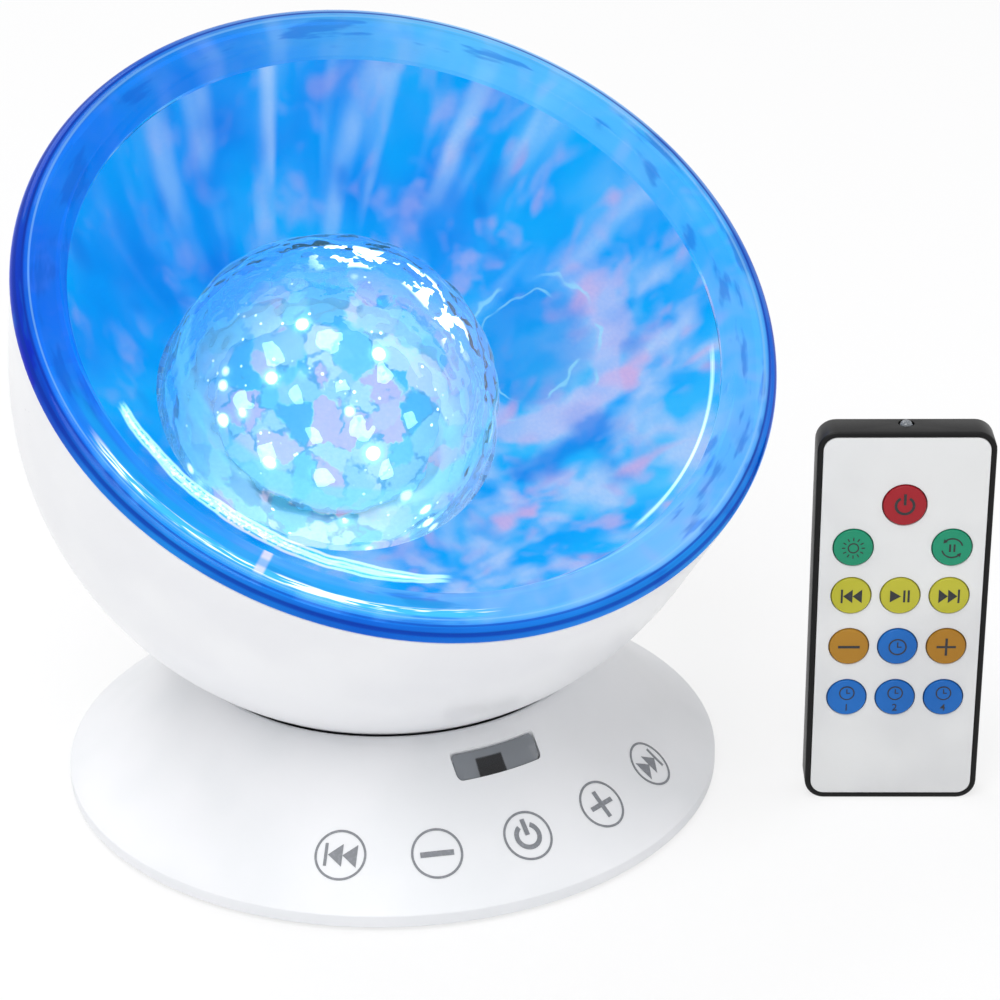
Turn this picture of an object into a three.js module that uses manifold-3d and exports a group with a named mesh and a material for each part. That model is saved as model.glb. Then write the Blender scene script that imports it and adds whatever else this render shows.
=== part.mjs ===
// A water wave effect light: a tilting bowl with a blue lens and a turning ripple dome, on a touch base,
// with its card remote standing beside it.
// Millimetres, +Z up, with the front at -Y.
// The origin is the middle of the base, on the surface that the feet stand on.

import * as THREE from "three";
import { mergeVertices } from "three/addons/utils/BufferGeometryUtils.js";
import Module from "manifold-3d";

const wasm = await Module();
wasm.setup();

// Fits and shared clearances
const fitGap = 0.3; // between pieces that seat on each other
const runGap = 0.5; // between pieces that slide or turn past each other
const cutOverrun = 1; // how far a cutting shape passes the faces it opens
const weldDistance = 1e-4; // vertices closer than this are one

// Facets of a full turn, by size of the turned piece
const facets = { large: 28, medium: 20, modest: 13, small: 12, key: 9, screw: 8, coil: 6, wire: 4 };

// Head: bowl and cover
const bowlRadius = 77.9; // outside of the bowl's round bottom
const mouthFlare = 2.3; // how much wider the rim is than the round bottom
const mouthHeight = 19.5; // rim above the bowl's centre
const bowlWall = 2.4;
const tiltDegrees = 33; // how far the head leans forward at rest
const tiltMostDegrees = 45; // its stop, leaning forward
const linerLedge = 1.8; // shelf inside the bowl that carries the reflector
const linerLedgeDrop = 7.2; // shelf below the rim
const coverLip = 3; // height and rounding of the cover's outer edge
const coverWall = 1.6;
const coverRimWidth = 9.7; // from the bowl's rim in to the edge of the sunk window
const coverWindowDrop = 3.4; // window below the cover's top
const coverStepSlope = 1.8; // how far the window's wall leans in
const coverBead = 0.5; // half the width, and the height, of the bead inside the lip
const snapWidth = 7; // catches on the cover's spigot
const snapProud = 0.9;
const snapHeight = 1.4;
const snapCount = 4;
const snapFirstDegrees = 45;

// Head: reflector, chassis and drive
const domeShiftX = -5; // turning axis of the ripple dome from the head's own axis
const domeShiftY = 6.8;
const domeShare = 0.5177; // dome's radius, as a share of the window's
const domeWall = 1.8;
const domeTopGap = 2.5; // dome below the cover's window
const domeSkirt = 3;
const rippleDepth = 0.55; // waves on the dome, crest to mean
const rippleFadeShare = 0.9; // share of the dome's height, from the top, that carries waves
const gearProud = 1.9; // pitch circle of the dome's gear beyond its side
const pinionTeeth = 8;
const toothModule = 1.92;
const toothTopShare = 0.8; // tooth above its pitch circle, as a share of the module
const toothRootShare = 1; // tooth below its pitch circle, as a share of the module
const flankShare = 0.16; // half a flank's lean round the gear, as a share of the tooth pitch
const toothBacklash = 0.4;
const gearWidth = 3;
const trackWidth = 2.4; // ring on the chassis that the dome turns on
const trackHeight = 1.6;
const linerWall = 1.6;
const linerSag = 6; // how much deeper than a straight cone the reflector is
const chassisThickness = 2;
const chassisRimGap = 3; // chassis edge to the bowl's wall
const chassisPostRadius = 3.6;
const chassisPostInset = 10; // post centres from the chassis edge
const postAngles = [60, 180, 300];
const ledBoardShare = 0.786; // lamp board's radius, as a share of the room inside the dome's guide
const ledBoardThickness = 1.4;
const ledBoardLift = 2.5; // board above the chassis
const ledSize = 5;
const ledHeight = 1.6;
const ledRings = [
  { count: 8, radiusShare: 0.74 },
  { count: 4, radiusShare: 0.3 },
];
const motorRadius = 10;
const motorLength = 13;
const motorEar = 6; // mounting ear beyond the can
const motorEarThickness = 1.2;
const motorEarRoundShare = 0.49; // rounding of an ear's end, as a share of its width
const motorShaftRadius = 1;

// Tilt clamp
const seatGap = 0.5; // bowl above its seat
const seatWall = 2.2;
const seatRadius = 43; // plan radius of the seat's edge
const seatLip = 0.8;
const seatRingWidth = 3.4;
const seatRingDepth = 1;
const seatRingInset = 1.8; // ring from the seat's edge
const boltRadius = 4.5;
const boltBore = 2.8; // the lamp's wires run through it
const boltHeadRadius = 10;
const boltHeadThickness = 2;
const boltHeadGap = 0.8; // bolt's head above the faceted floor of the bowl
const boltFloorGap = 3.16; // bolt's end above the bottom plate
const shoeRadius = 10.5;
const shoeThickness = 1.9;
const springWasherThickness = 0.8;
const springWasherRise = 0.8;
const springWasherRadius = 8.5;
const nutRadius = 8; // across the corners
const nutThickness = 3.2;
const boltEnd = 0.6; // bolt beyond the nut

// Base
const baseTurnDegrees = 2.6; // the base stands turned by this under the head
const baseRadius = 71.6;
const baseRimHeight = 2.9;
const baseRimRound = 0.9;
const baseWall = 2.2;
const baseHollow = 2; // how far the sloping top dips below a straight cone
const footHeight = 0.8;
const footRadius = 5;
const footRecess = 0.6;
const footCount = 4;
const plateThickness = 1.8;
const fixingShare = 0.489; // circle of the feet and screws, as a share of the slope in from the rim
const bossRadius = 3.2;
const screwRadius = 1.2;
const screwHeadRadius = 2.7;
const screwHeadHeight = 1;
const screwLength = 6;
const screwTipGap = 1; // pilot hole beyond the screw's end

// Touch icons, their springs and the infrared window
const touchShare = 0.3633; // icons' place on the slope, as a share in from the rim
const touchPitchDegrees = 18.6;
const touchCount = 5;
const springCoilRadius = 1.9;
const springWire = 0.5;
const springTurns = 1.5;
const springPadRadius = 1.3; // inside the coil, so that the slanted pad clears it
const springPadThickness = 0.4;
const windowUpperShare = 0.91; // window's upper edge, as a share of the slope in from the rim
const windowLowerShare = 0.752;
const windowHalfWidth = 9.9;
const windowThickness = 1.2; // of its flange, behind the shell
const windowSink = 0.3; // window below the shell's face
const windowFlange = 1.2; // wider back edge that holds the window in
const receiverWidth = 6;
const receiverDepth = 4.6;
const receiverHeight = 6.4;
const receiverLens = 2;
const receiverLeg = 0.6;
const receiverLegPitch = 2;
const receiverShare = 0.939; // receiver's middle, as a share of the slope in from the rim

// Boards, speaker and sockets
const boardThickness = 1;
const boardLift = 0.6;
const boardInnerInset = 9; // main board's inner edge in from the seat's edge
const boardOuterShare = 0.252; // its outer edge, as a share of the slope in from the rim
const boardHalfDegrees = 41;
const boardEdge = 1.2; // socket board beyond its sockets
const standoffRadius = 2.4;
const chipSize = 9;
const chipHeight = 1.4;
const speakerRadius = 14;
const speakerHeight = 8;
const speakerInset = 20; // speaker's middle in from the circle of the feet
const speakerRing = 1.4;
const speakerRingHeight = 3;
const speakerMagnetRadius = 8;
const speakerFlange = 1.2;
const grilleSlot = 1.6;
const grilleSlots = 6;
const slotRoundShare = 0.33; // rounding of a slot's end, as a share of its width
const bayHalfWidth = 14;
const bayWall = 1.6;
const bayHeight = 8;
const bayFaceShare = 0.561; // wall that the sockets pass, as a share of the slope in from the rim
const socketDepth = 9;
const socketBoreShare = 0.8; // depth of a socket's bore behind the wall, as a share of its depth
const socketPinShare = 0.9;
const powerSocketWidth = 9;
const powerSocketHeight = 7;
const powerSocketBore = 2.8;
const powerCollar = 3.4;
const powerPin = 0.7;
const audioSocketWidth = 7;
const audioSocketHeight = 6;
const audioSocketBore = 1.8;
const audioCollar = 2.8;
const socketPlace = 7; // socket centres from the middle of the bay

// Remote
const remotePlaceX = 89.6;
const remotePlaceY = -63.5;
const remoteTurnDegrees = -27.3;
const remoteSideMargin = 4; // from the outer keys to the remote's sides
const remoteHeight = 87;
const remoteCorner = 4.2;
const remoteRim = 1.1;
const remoteBack = 0.8;
const facePlate = 0.6;
const keyRadius = 4.2;
const powerKeyRadius = 4.6;
const keyProud = 0.5;
const keyTravel = 0.4;
const keyTopShare = 0.94; // radius of a key's face, as a share of the radius at its foot
const keyFlange = 0.5;
const keyFlangeThickness = 0.4;
const keyStem = 0.3;
const keySideGap = 0.15;
const keyGapX = 1.9; // between neighbours in a row
const keyRowDrops = [16.5, 26.3, 37.6, 49.7, 62]; // key rows below the remote's top
const remoteBoardThickness = 0.6;
const remoteSideWall = 1.6;
const cellRadius = 10;
const cellThickness = 1.6;
const trayWall = 0.7;
const trayFloor = 0.5;
const cellFrontGap = 0.65; // cell to the front of its tray
const trayGripHeight = 3;
const emitterRadius = 1.4;
const emitterLength = 5;
const emitterShoulderShare = 0.7; // radius halfway round the emitter's domed end, as a share
const emitterDomeShare = 0.3; // and its depth below the top, as a share of the radius

// Worked-out places
const screwPilot = screwRadius + fitGap; // the hole that holds a screw
const screwClearance = screwRadius + runGap; // the hole that a screw passes
const radians = THREE.MathUtils.degToRad;
const tilt = radians(tiltDegrees);
const boltAngle = radians(tiltMostDegrees / 2); // the bolt hangs straight down halfway through the tilt
const mouthRadius = bowlRadius + mouthFlare;
const mouthReach = Math.hypot(mouthRadius, mouthHeight);
const coneLean = Math.atan2(mouthHeight, mouthRadius) - Math.acos(bowlRadius / mouthReach);
const seatSphere = bowlRadius + seatGap;
const dishUnder = seatSphere + seatWall;
const seatDrop = Math.sqrt(seatSphere ** 2 - seatRadius ** 2);

// Distances from the head's centre of what hangs on the bolt under the seat
const shoeTop = dishUnder + fitGap;
const shoeLow = shoeTop + shoeThickness;
const washerTop = shoeLow + fitGap;
const washerLow = washerTop + springWasherRise + springWasherThickness;
const nutTop = washerLow + fitGap;
const nutLow = nutTop + nutThickness;
const boltLow = nutLow + boltEnd;

const plateTop = footHeight + plateThickness;
const headCentreZ = plateTop + boltFloorGap + boltLow;
const baseHeight = headCentreZ - seatDrop; // seat's edge above the surface

// Places on the base's slope
const slopeWidth = baseRadius - seatRadius - seatLip;
const slopePlace = (share) => baseRadius - slopeWidth * share;
const fixingRadius = slopePlace(fixingShare);
const touchRadius = slopePlace(touchShare);
const windowNear = slopePlace(windowUpperShare);
const windowFar = slopePlace(windowLowerShare);
const receiverPlace = slopePlace(receiverShare);
const bayFace = slopePlace(bayFaceShare);
const boardInner = seatRadius - boardInnerInset;
const boardOuter = slopePlace(boardOuterShare);
const speakerPlace = fixingRadius - speakerInset;

const ledgeTop = mouthHeight - linerLedgeDrop;
const coverTop = mouthHeight + coverLip;
const windowUnder = coverTop - coverWindowDrop - coverWall;
const coverWindowRadius = mouthRadius - coverRimWidth;
const spigotEnd = ledgeTop + fitGap + linerWall + fitGap;
const domeRadius = coverWindowRadius * domeShare;
const domeCentre = windowUnder - domeTopGap - domeRadius - rippleDepth;
const gearTop = domeCentre - domeSkirt;
const gearUnder = gearTop - gearWidth;
const gearTeeth = Math.round((2 * (domeRadius + gearProud)) / toothModule);
const gearRadius = (gearTeeth * toothModule) / 2;
const pinionRadius = (pinionTeeth * toothModule) / 2;
const chassisTop = gearUnder - fitGap - trackHeight;
const chassisUnder = chassisTop - chassisThickness;
const bowlInner = bowlRadius - bowlWall;
const chassisRadius = Math.sqrt(bowlInner ** 2 - chassisUnder ** 2) - chassisRimGap;
const postPlace = chassisRadius - chassisPostInset;
const guideOuter = domeRadius - domeWall - runGap;
const guideInner = guideOuter - trackWidth;
const ledBoardRadius = guideInner * ledBoardShare;
const motorX = domeShiftX + gearRadius + pinionRadius;
const motorY = domeShiftY;

// Colours and finishes
function finish(color, roughness, metalness = 0, opacity = 1) {
  return new THREE.MeshStandardMaterial({
    color,
    roughness,
    metalness,
    opacity,
    transparent: opacity < 1,
  });
}

const finishes = {
  bowlWhite: finish(0xf7f8fa, 0.18),
  baseWhite: finish(0xeef0f3, 0.42),
  blueLens: finish(0x1488f0, 0.06, 0, 0.35),
  waveReflector: finish(0x2a9cf5, 0.35),
  rippleClear: finish(0xbdf1ff, 0.05, 0, 0.3),
  innerWhite: finish(0xe4e6e8, 0.55),
  smokeWindow: finish(0x8f959b, 0.12, 0, 0.5),
  blackPart: finish(0x17181a, 0.45),
  rubber: finish(0x3a3b3d, 0.85),
  steel: finish(0xb9bcc0, 0.3, 1),
  boardGreen: finish(0x1f6b45, 0.5),
  ledWhite: finish(0xf3fbff, 0.3),
  nylon: finish(0xd9d6cc, 0.5),
  remoteBlack: finish(0x111214, 0.35),
  remoteSilver: finish(0xeceef0, 0.3, 0.1),
  keyRed: finish(0xc81e2d, 0.4),
  keyGreen: finish(0x1f9d78, 0.4),
  keyYellow: finish(0xd4cf2a, 0.4),
  keyOrange: finish(0xce9020, 0.4),
  keyBlue: finish(0x1f80dc, 0.4),
};

// Solids
function toManifold(geometry) {
  const plain = geometry.clone();
  plain.deleteAttribute("normal");
  plain.deleteAttribute("uv");
  const merged = mergeVertices(plain, weldDistance);
  return new wasm.Manifold(
    new wasm.Mesh({
      numProp: 3,
      vertProperties: merged.attributes.position.array,
      triVerts: new Uint32Array(merged.index.array),
    }),
  );
}

function toGeometry(body) {
  const mesh = body.getMesh();
  const geometry = new THREE.BufferGeometry();
  geometry.setAttribute("position", new THREE.BufferAttribute(mesh.vertProperties, 3));
  geometry.setIndex(new THREE.BufferAttribute(mesh.triVerts, 1));
  return geometry;
}

function join(first, ...others) {
  return toGeometry(others.reduce((sum, g) => sum.add(toManifold(g)), toManifold(first)));
}

function cut(first, ...tools) {
  return toGeometry(tools.reduce((rest, g) => rest.subtract(toManifold(g)), toManifold(first)));
}

function common(first, second) {
  return toGeometry(toManifold(first).intersect(toManifold(second)));
}

// A closed outline of [radius, height] pairs turned about Z.
function turned(outline, sides) {
  let area = 0;
  outline.forEach(([r, z], i) => {
    const [nextR, nextZ] = outline[(i + 1) % outline.length];
    area += r * nextZ - nextR * z;
  });
  const ordered = area > 0 ? outline : [...outline].reverse();
  const closed = [...ordered, ordered[0]].map(([r, z]) => new THREE.Vector2(r, z));
  return new THREE.LatheGeometry(closed, sides).rotateX(Math.PI / 2);
}

// A cylinder or cone about Z, from one height to another.
function rod(radius, low, high, sides, topRadius = radius) {
  const height = high - low;
  const geometry = new THREE.CylinderGeometry(topRadius, radius, height, sides);
  return geometry.rotateX(Math.PI / 2).translate(0, 0, low + height / 2);
}

function tube(outer, inner, low, high, sides) {
  const outline = [
    [inner, low],
    [outer, low],
    [outer, high],
    [inner, high],
  ];
  return turned(outline, sides);
}

function block(width, depth, height) {
  return new THREE.BoxGeometry(width, depth, height);
}

function plate(shape, thickness, curveSegments = 4) {
  return new THREE.ExtrudeGeometry(shape, { depth: thickness, bevelEnabled: false, curveSegments });
}

function roundedRectangle(width, height, round) {
  const shape = new THREE.Shape();
  const x = width / 2;
  const y = height / 2;
  shape.moveTo(round - x, -y);
  shape.lineTo(x - round, -y);
  shape.absarc(x - round, round - y, round, -Math.PI / 2, 0, false);
  shape.lineTo(x, y - round);
  shape.absarc(x - round, y - round, round, 0, Math.PI / 2, false);
  shape.lineTo(round - x, y);
  shape.absarc(round - x, y - round, round, Math.PI / 2, Math.PI, false);
  shape.lineTo(-x, round - y);
  shape.absarc(round - x, round - y, round, Math.PI, Math.PI * 1.5, false);
  return shape;
}

// Points on a circle about (0, height) in a turned outline, its angles measured from straight down.
function hollowArc(radius, height, fromPlan, toPlan, steps) {
  const from = Math.asin(fromPlan / radius);
  const to = Math.asin(toPlan / radius);
  return Array.from({ length: steps + 1 }, (_, i) => {
    const angle = from + ((to - from) * i) / steps;
    return [radius * Math.sin(angle), height - radius * Math.cos(angle)];
  });
}

// A rounded quarter corner from one direction to another, both in turns of a right angle.
function corner(r, z, radius, fromQuarter, steps = 3) {
  return Array.from({ length: steps + 1 }, (_, i) => {
    const angle = ((fromQuarter + i / steps) * Math.PI) / 2;
    return [r + radius * Math.cos(angle), z + radius * Math.sin(angle)];
  });
}

// A round-ended slot through a spherical wall, swept about the X axis through the origin.
function sphericalSlot(halfWidth, innerRadius, outerRadius, halfAngle) {
  const shape = new THREE.Shape();
  const down = -Math.PI / 2;
  shape.absarc(0, 0, outerRadius, down - halfAngle, down + halfAngle, false);
  shape.absarc(0, 0, innerRadius, down + halfAngle, down - halfAngle, true);
  const sector = plate(shape, 2 * halfWidth, 5)
    .translate(0, 0, -halfWidth)
    .rotateY(Math.PI / 2)
    .rotateX(Math.PI / 2);
  const ends = [-halfAngle, halfAngle].map((angle) =>
    rod(halfWidth, -outerRadius, -innerRadius, facets.small).rotateX(angle),
  );
  return join(sector, ...ends);
}

// A screw about Z with its head on top of height zero.
function screw(headRadius, headHeight, shankRadius, length) {
  const outline = [
    [0, -length],
    [shankRadius, -length],
    [shankRadius, 0],
    [headRadius, 0],
    [headRadius, headHeight],
    [0, headHeight],
  ];
  return turned(outline, facets.screw);
}

function piece(name, geometry, material) {
  const mesh = new THREE.Mesh(geometry, material);
  mesh.name = name;
  return mesh;
}

// Bowl
function bowlArc(radius, steps) {
  return Array.from({ length: steps + 1 }, (_, i) => {
    const angle = -Math.PI / 2 + ((coneLean + Math.PI / 2) * i) / steps;
    return [radius * Math.cos(angle), radius * Math.sin(angle)];
  });
}

// Inside radius of the bowl's flared wall at a height.
function bowlInside(height) {
  const wallAcross = bowlWall / Math.cos(coneLean);
  const flare = Math.tan(-coneLean);
  return mouthRadius - (mouthHeight - height) * flare - wallAcross;
}

function buildBowl() {
  const outer = [...bowlArc(bowlRadius, 7), [mouthRadius, mouthHeight]];
  const innerFrom = ledgeTop - 2 * linerLedge;
  const inner = [
    [bowlInside(mouthHeight), mouthHeight],
    [bowlInside(ledgeTop), ledgeTop],
    [bowlInside(ledgeTop) - linerLedge, ledgeTop],
    [bowlInside(innerFrom), innerFrom],
    ...bowlArc(bowlInner, 6).reverse(),
  ];
  const shell = turned([...outer, ...inner], facets.large);
  const whole = turned([...outer, [0, mouthHeight]], facets.large);
  const postTop = chassisUnder - fitGap;
  const posts = postAngles.map((degrees) => {
    const post = rod(chassisPostRadius, -bowlRadius, postTop, facets.screw);
    const pilot = rod(screwPilot, postTop - screwLength, postTop + cutOverrun, facets.screw);
    const [x, y] = around(postPlace, degrees);
    return { post: common(post.translate(x, y, 0), whole), pilot: pilot.translate(x, y, 0) };
  });
  const boltHole = rod(boltRadius + fitGap, -bowlRadius - cutOverrun, -bowlInner + boltRadius, facets.modest);
  boltHole.rotateX(-boltAngle);
  const pockets = snapBlocks(bowlInside(spigotEnd) - fitGap, spigotEnd, fitGap);
  const joined = join(shell, ...posts.map((p) => p.post));
  return cut(joined, boltHole, ...posts.map((p) => p.pilot), ...pockets);
}

function around(radius, degrees) {
  return [radius * Math.cos(radians(degrees)), radius * Math.sin(radians(degrees))];
}

// Cover: a lens with a rounded lip, an inner bead, a sunk window, a spigot and snap tabs
function buildCover() {
  const spigotOuter = bowlInside(spigotEnd) - fitGap;
  const spigotInner = spigotOuter - coverWall;
  const lipRound = coverLip - fitGap;
  const lipEnd = mouthRadius - lipRound;
  const stepFoot = coverWindowRadius - coverStepSlope;
  const underTop = coverTop - coverWall;
  const seam = mouthHeight + fitGap;
  const outline = [
    [0, windowUnder],
    [stepFoot + coverWall / 2, windowUnder],
    [coverWindowRadius + coverWall / 2, underTop],
    [spigotInner, underTop],
    [spigotInner, spigotEnd],
    [spigotOuter, spigotEnd],
    [spigotOuter, seam],
    ...corner(lipEnd, seam, lipRound, 0, 3),
    [lipEnd - coverBead, coverTop + coverBead],
    [lipEnd - 2 * coverBead, coverTop],
    [coverWindowRadius, coverTop],
    [stepFoot, coverTop - coverWindowDrop],
    [0, coverTop - coverWindowDrop],
  ];
  const disc = turned(outline, facets.large);
  return join(disc, ...snapBlocks(spigotOuter, spigotEnd, 0));
}

// Blocks round the spigot: the cover's catches or, grown, the pockets that they snap into
function snapBlocks(spigotOuter, spigotEnd, grow) {
  const depth = coverWall + snapProud + grow;
  return Array.from({ length: snapCount }, (_, i) => {
    const catchBlock = block(depth, snapWidth + 2 * grow, snapHeight + 2 * grow);
    const middle = spigotOuter + snapProud + grow - depth / 2;
    catchBlock.translate(middle, 0, spigotEnd + snapHeight / 2 + fitGap);
    return catchBlock.rotateZ(radians(snapFirstDegrees + (i * 360) / snapCount));
  });
}

// Reflector: a sagging dish from the shelf in the bowl down to a round hole round the dome's foot
function buildReflector() {
  const outerRadius = bowlInside(ledgeTop) - fitGap;
  const flangeInner = outerRadius - linerLedge - runGap;
  const holeRadius = domeRadius + rippleDepth + runGap;
  const holeLow = gearTop + runGap;
  const flangeLow = ledgeTop + fitGap;
  const steps = 3;
  const shares = Array.from({ length: steps + 1 }, (_, i) => i / steps);
  const sagAt = (share) => linerSag * 4 * share * (1 - share);
  const topAt = (share) => {
    const straight = holeLow + (flangeLow - holeLow) * share;
    return straight + linerWall - sagAt(share);
  };
  const upper = shares.map((share) => ({ share, out: 0, z: topAt(share) }));
  const lower = [...shares].reverse().map((share) => ({ share, out: 0, z: topAt(share) - linerWall }));
  const flange = [
    { share: 1, out: outerRadius - flangeInner, z: flangeLow + linerWall },
    { share: 1, out: outerRadius - flangeInner, z: flangeLow },
  ];
  const loop = [...upper, ...flange, ...lower];
  const ring = ({ share, out, z }, angle) => {
    const outer = flangeInner + out;
    const innerX = domeShiftX + holeRadius * Math.cos(angle);
    const innerY = domeShiftY + holeRadius * Math.sin(angle);
    const outerX = outer * Math.cos(angle);
    const outerY = outer * Math.sin(angle);
    return [innerX + (outerX - innerX) * share, innerY + (outerY - innerY) * share, z];
  };
  return sweptLoop(loop, ring, facets.large);
}

// A closed ring of sections: each angle places every point of the loop.
function sweptLoop(loop, place, sides) {
  const positions = [];
  const index = [];
  for (let side = 0; side < sides; side += 1) {
    const angle = (side / sides) * Math.PI * 2;
    loop.forEach((point) => positions.push(...place(point, angle)));
  }
  const count = loop.length;
  for (let side = 0; side < sides; side += 1) {
    const here = side * count;
    const next = ((side + 1) % sides) * count;
    for (let i = 0; i < count; i += 1) {
      const j = (i + 1) % count;
      index.push(here + i, here + j, next + j);
      index.push(here + i, next + j, next + i);
    }
  }
  const geometry = new THREE.BufferGeometry();
  geometry.setAttribute("position", new THREE.Float32BufferAttribute(positions, 3));
  geometry.setIndex(index);
  return geometry;
}

// Chassis: the plate that carries the dome's track, the lamp board and the motor
function buildChassis() {
  const trackOuter = guideOuter + trackWidth + runGap;
  const boardUnder = chassisTop + ledBoardLift - fitGap;
  const disc = rod(chassisRadius, chassisUnder, chassisTop, facets.large);
  const hub = [
    [guideInner, chassisTop],
    [guideInner, gearTop],
    [guideOuter, gearTop],
    [guideOuter, chassisTop + trackHeight],
    [trackOuter, chassisTop + trackHeight],
    [trackOuter, chassisUnder + chassisThickness / 2],
    [guideInner, chassisUnder + chassisThickness / 2],
  ];
  const hubRing = turned(hub, facets.medium);
  hubRing.translate(domeShiftX, domeShiftY, 0);
  const boardPosts = postAngles.map((degrees) => {
    const [x, y] = around(ledBoardRadius - chassisPostRadius, degrees);
    const post = rod(chassisPostRadius, chassisUnder + chassisThickness / 2, boardUnder, facets.screw);
    return post.translate(domeShiftX + x, domeShiftY + y, 0);
  });
  const holeLow = chassisUnder - cutOverrun;
  const holeHigh = chassisTop + cutOverrun;
  const screwHoles = postAngles.map((degrees) => {
    const [x, y] = around(postPlace, degrees);
    const hole = rod(screwClearance, holeLow, holeHigh, facets.screw);
    return hole.translate(x, y, 0);
  });
  const shaftHole = rod(2 * motorShaftRadius, holeLow, holeHigh, facets.small);
  const earHoles = motorEarPlaces().map(([x, y]) =>
    rod(screwPilot, holeLow, holeHigh, facets.screw).translate(x, y, 0),
  );
  const wireHole = rod(boltRadius, holeLow, holeHigh, facets.small);
  wireHole.translate(domeShiftX, domeShiftY, 0);
  const solid = join(disc, hubRing, ...boardPosts);
  return cut(solid, ...screwHoles, ...earHoles, wireHole, shaftHole.translate(motorX, motorY, 0));
}

function motorEarPlaces() {
  const reach = motorRadius + motorEar / 2;
  return [-1, 1].map((side) => [motorX, motorY + side * reach]);
}

// Spur gear outline with straight-sided teeth, each thinned by half the backlash
function gearShape(teeth) {
  const pitchRadius = (teeth * toothModule) / 2;
  const tip = pitchRadius + toothModule * toothTopShare;
  const root = pitchRadius - toothModule * toothRootShare;
  const step = (Math.PI * 2) / teeth;
  const halfTooth = step / 4 - toothBacklash / 4 / pitchRadius;
  const lean = step * flankShare;
  const points = [];
  for (let i = 0; i < teeth; i += 1) {
    const middle = i * step;
    points.push([root, middle - halfTooth - lean]);
    points.push([tip, middle - halfTooth + lean]);
    points.push([tip, middle + halfTooth - lean]);
    points.push([root, middle + halfTooth + lean]);
  }
  return new THREE.Shape(points.map(([r, a]) => new THREE.Vector2(r * Math.cos(a), r * Math.sin(a))));
}

// Ripple dome: a clear shell with a relief of crossing waves, standing on its ring gear.
// Each wave train has its counts round and over the dome, its phase and its share of the depth.
const trainShares = [
  { round: 5, over: 7, phase: 0, share: 0.45 },
  { round: 8, over: -11, phase: 1.3, share: 0.3 },
];
const crownShare = { round: 2, over: 14, swing: 3, share: 0.25 };

function rippleAt(polar, angle) {
  const quarter = Math.PI / 2;
  const fade = Math.max(0, 1 - (polar / quarter / rippleFadeShare) ** 6);
  const calmTop = Math.sin(Math.min(polar * 2, quarter));
  const { round, over, swing, share } = crownShare;
  const crown = share * Math.sin(over * polar + swing * Math.sin(round * angle));
  const wave = trainShares.reduce(
    (sum, train) => sum + train.share * Math.sin(train.round * angle + train.over * polar + train.phase),
    crown,
  );
  return rippleDepth * fade * calmTop * wave;
}

function buildRippleDome() {
  const rows = 8;
  const sides = 36;
  const cap = new THREE.SphereGeometry(domeRadius, sides, rows, 0, Math.PI * 2, 0, Math.PI / 2);
  cap.rotateX(Math.PI / 2);
  const spot = new THREE.Vector3();
  const places = cap.attributes.position;
  for (let i = 0; i < places.count; i += 1) {
    spot.fromBufferAttribute(places, i);
    const polar = Math.acos(Math.min(1, spot.z / domeRadius));
    const angle = Math.atan2(spot.y, spot.x);
    spot.multiplyScalar(1 + rippleAt(polar, angle) / domeRadius);
    places.setXYZ(i, spot.x, spot.y, spot.z);
  }
  const outer = closedDown(cap, sides, domeSkirt);
  const innerRadius = domeRadius - domeWall;
  const hollow = new THREE.SphereGeometry(innerRadius, facets.medium, 8).rotateX(Math.PI / 2);
  const bore = rod(innerRadius, -domeSkirt - gearWidth - cutOverrun, 0, facets.medium);
  const blank = plate(gearShape(gearTeeth), gearWidth);
  blank.translate(0, 0, -domeSkirt - gearWidth);
  return cut(join(outer, blank), hollow, bore);
}

// Closes an open hemisphere downwards with a straight skirt and a flat end.
function closedDown(cap, sides, skirt) {
  const merged = toOpenIndexed(cap);
  const positions = Array.from(merged.attributes.position.array);
  const index = Array.from(merged.index.array);
  const rim = [];
  for (let i = 0; i < positions.length / 3; i += 1) {
    if (Math.abs(positions[3 * i + 2]) < 2 * weldDistance) rim.push(i);
  }
  rim.sort((a, b) => angleOf(positions, a) - angleOf(positions, b));
  const first = positions.length / 3;
  rim.forEach((i) => positions.push(positions[3 * i], positions[3 * i + 1], -skirt));
  const centre = positions.length / 3;
  positions.push(0, 0, -skirt);
  rim.forEach((i, k) => {
    const n = (k + 1) % rim.length;
    index.push(i, first + k, first + n, i, first + n, rim[n]);
    index.push(centre, first + n, first + k);
  });
  const geometry = new THREE.BufferGeometry();
  geometry.setAttribute("position", new THREE.Float32BufferAttribute(positions, 3));
  geometry.setIndex(index);
  return geometry;
}

function toOpenIndexed(geometry) {
  geometry.deleteAttribute("normal");
  geometry.deleteAttribute("uv");
  return mergeVertices(geometry, weldDistance);
}

function angleOf(positions, i) {
  return Math.atan2(positions[3 * i + 1], positions[3 * i]);
}

// Lamp board with its lamps
function buildLampBoard() {
  const low = chassisTop + ledBoardLift;
  const high = low + ledBoardThickness;
  const disc = rod(ledBoardRadius, low, high, facets.medium);
  const lamps = ledRings.flatMap(({ count, radiusShare }) =>
    Array.from({ length: count }, (_, i) => {
      const [x, y] = around(ledBoardRadius * radiusShare, (i * 360) / count + 180 / count);
      const lamp = block(ledSize, ledSize, ledHeight + ledBoardThickness);
      return lamp.translate(x, y, high + ledHeight / 2 - ledBoardThickness / 2);
    }),
  );
  const wireHole = rod(boltBore / 2, low - cutOverrun, high + cutOverrun, facets.screw);
  return cut(join(disc, ...lamps), wireHole).translate(domeShiftX, domeShiftY, 0);
}

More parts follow.
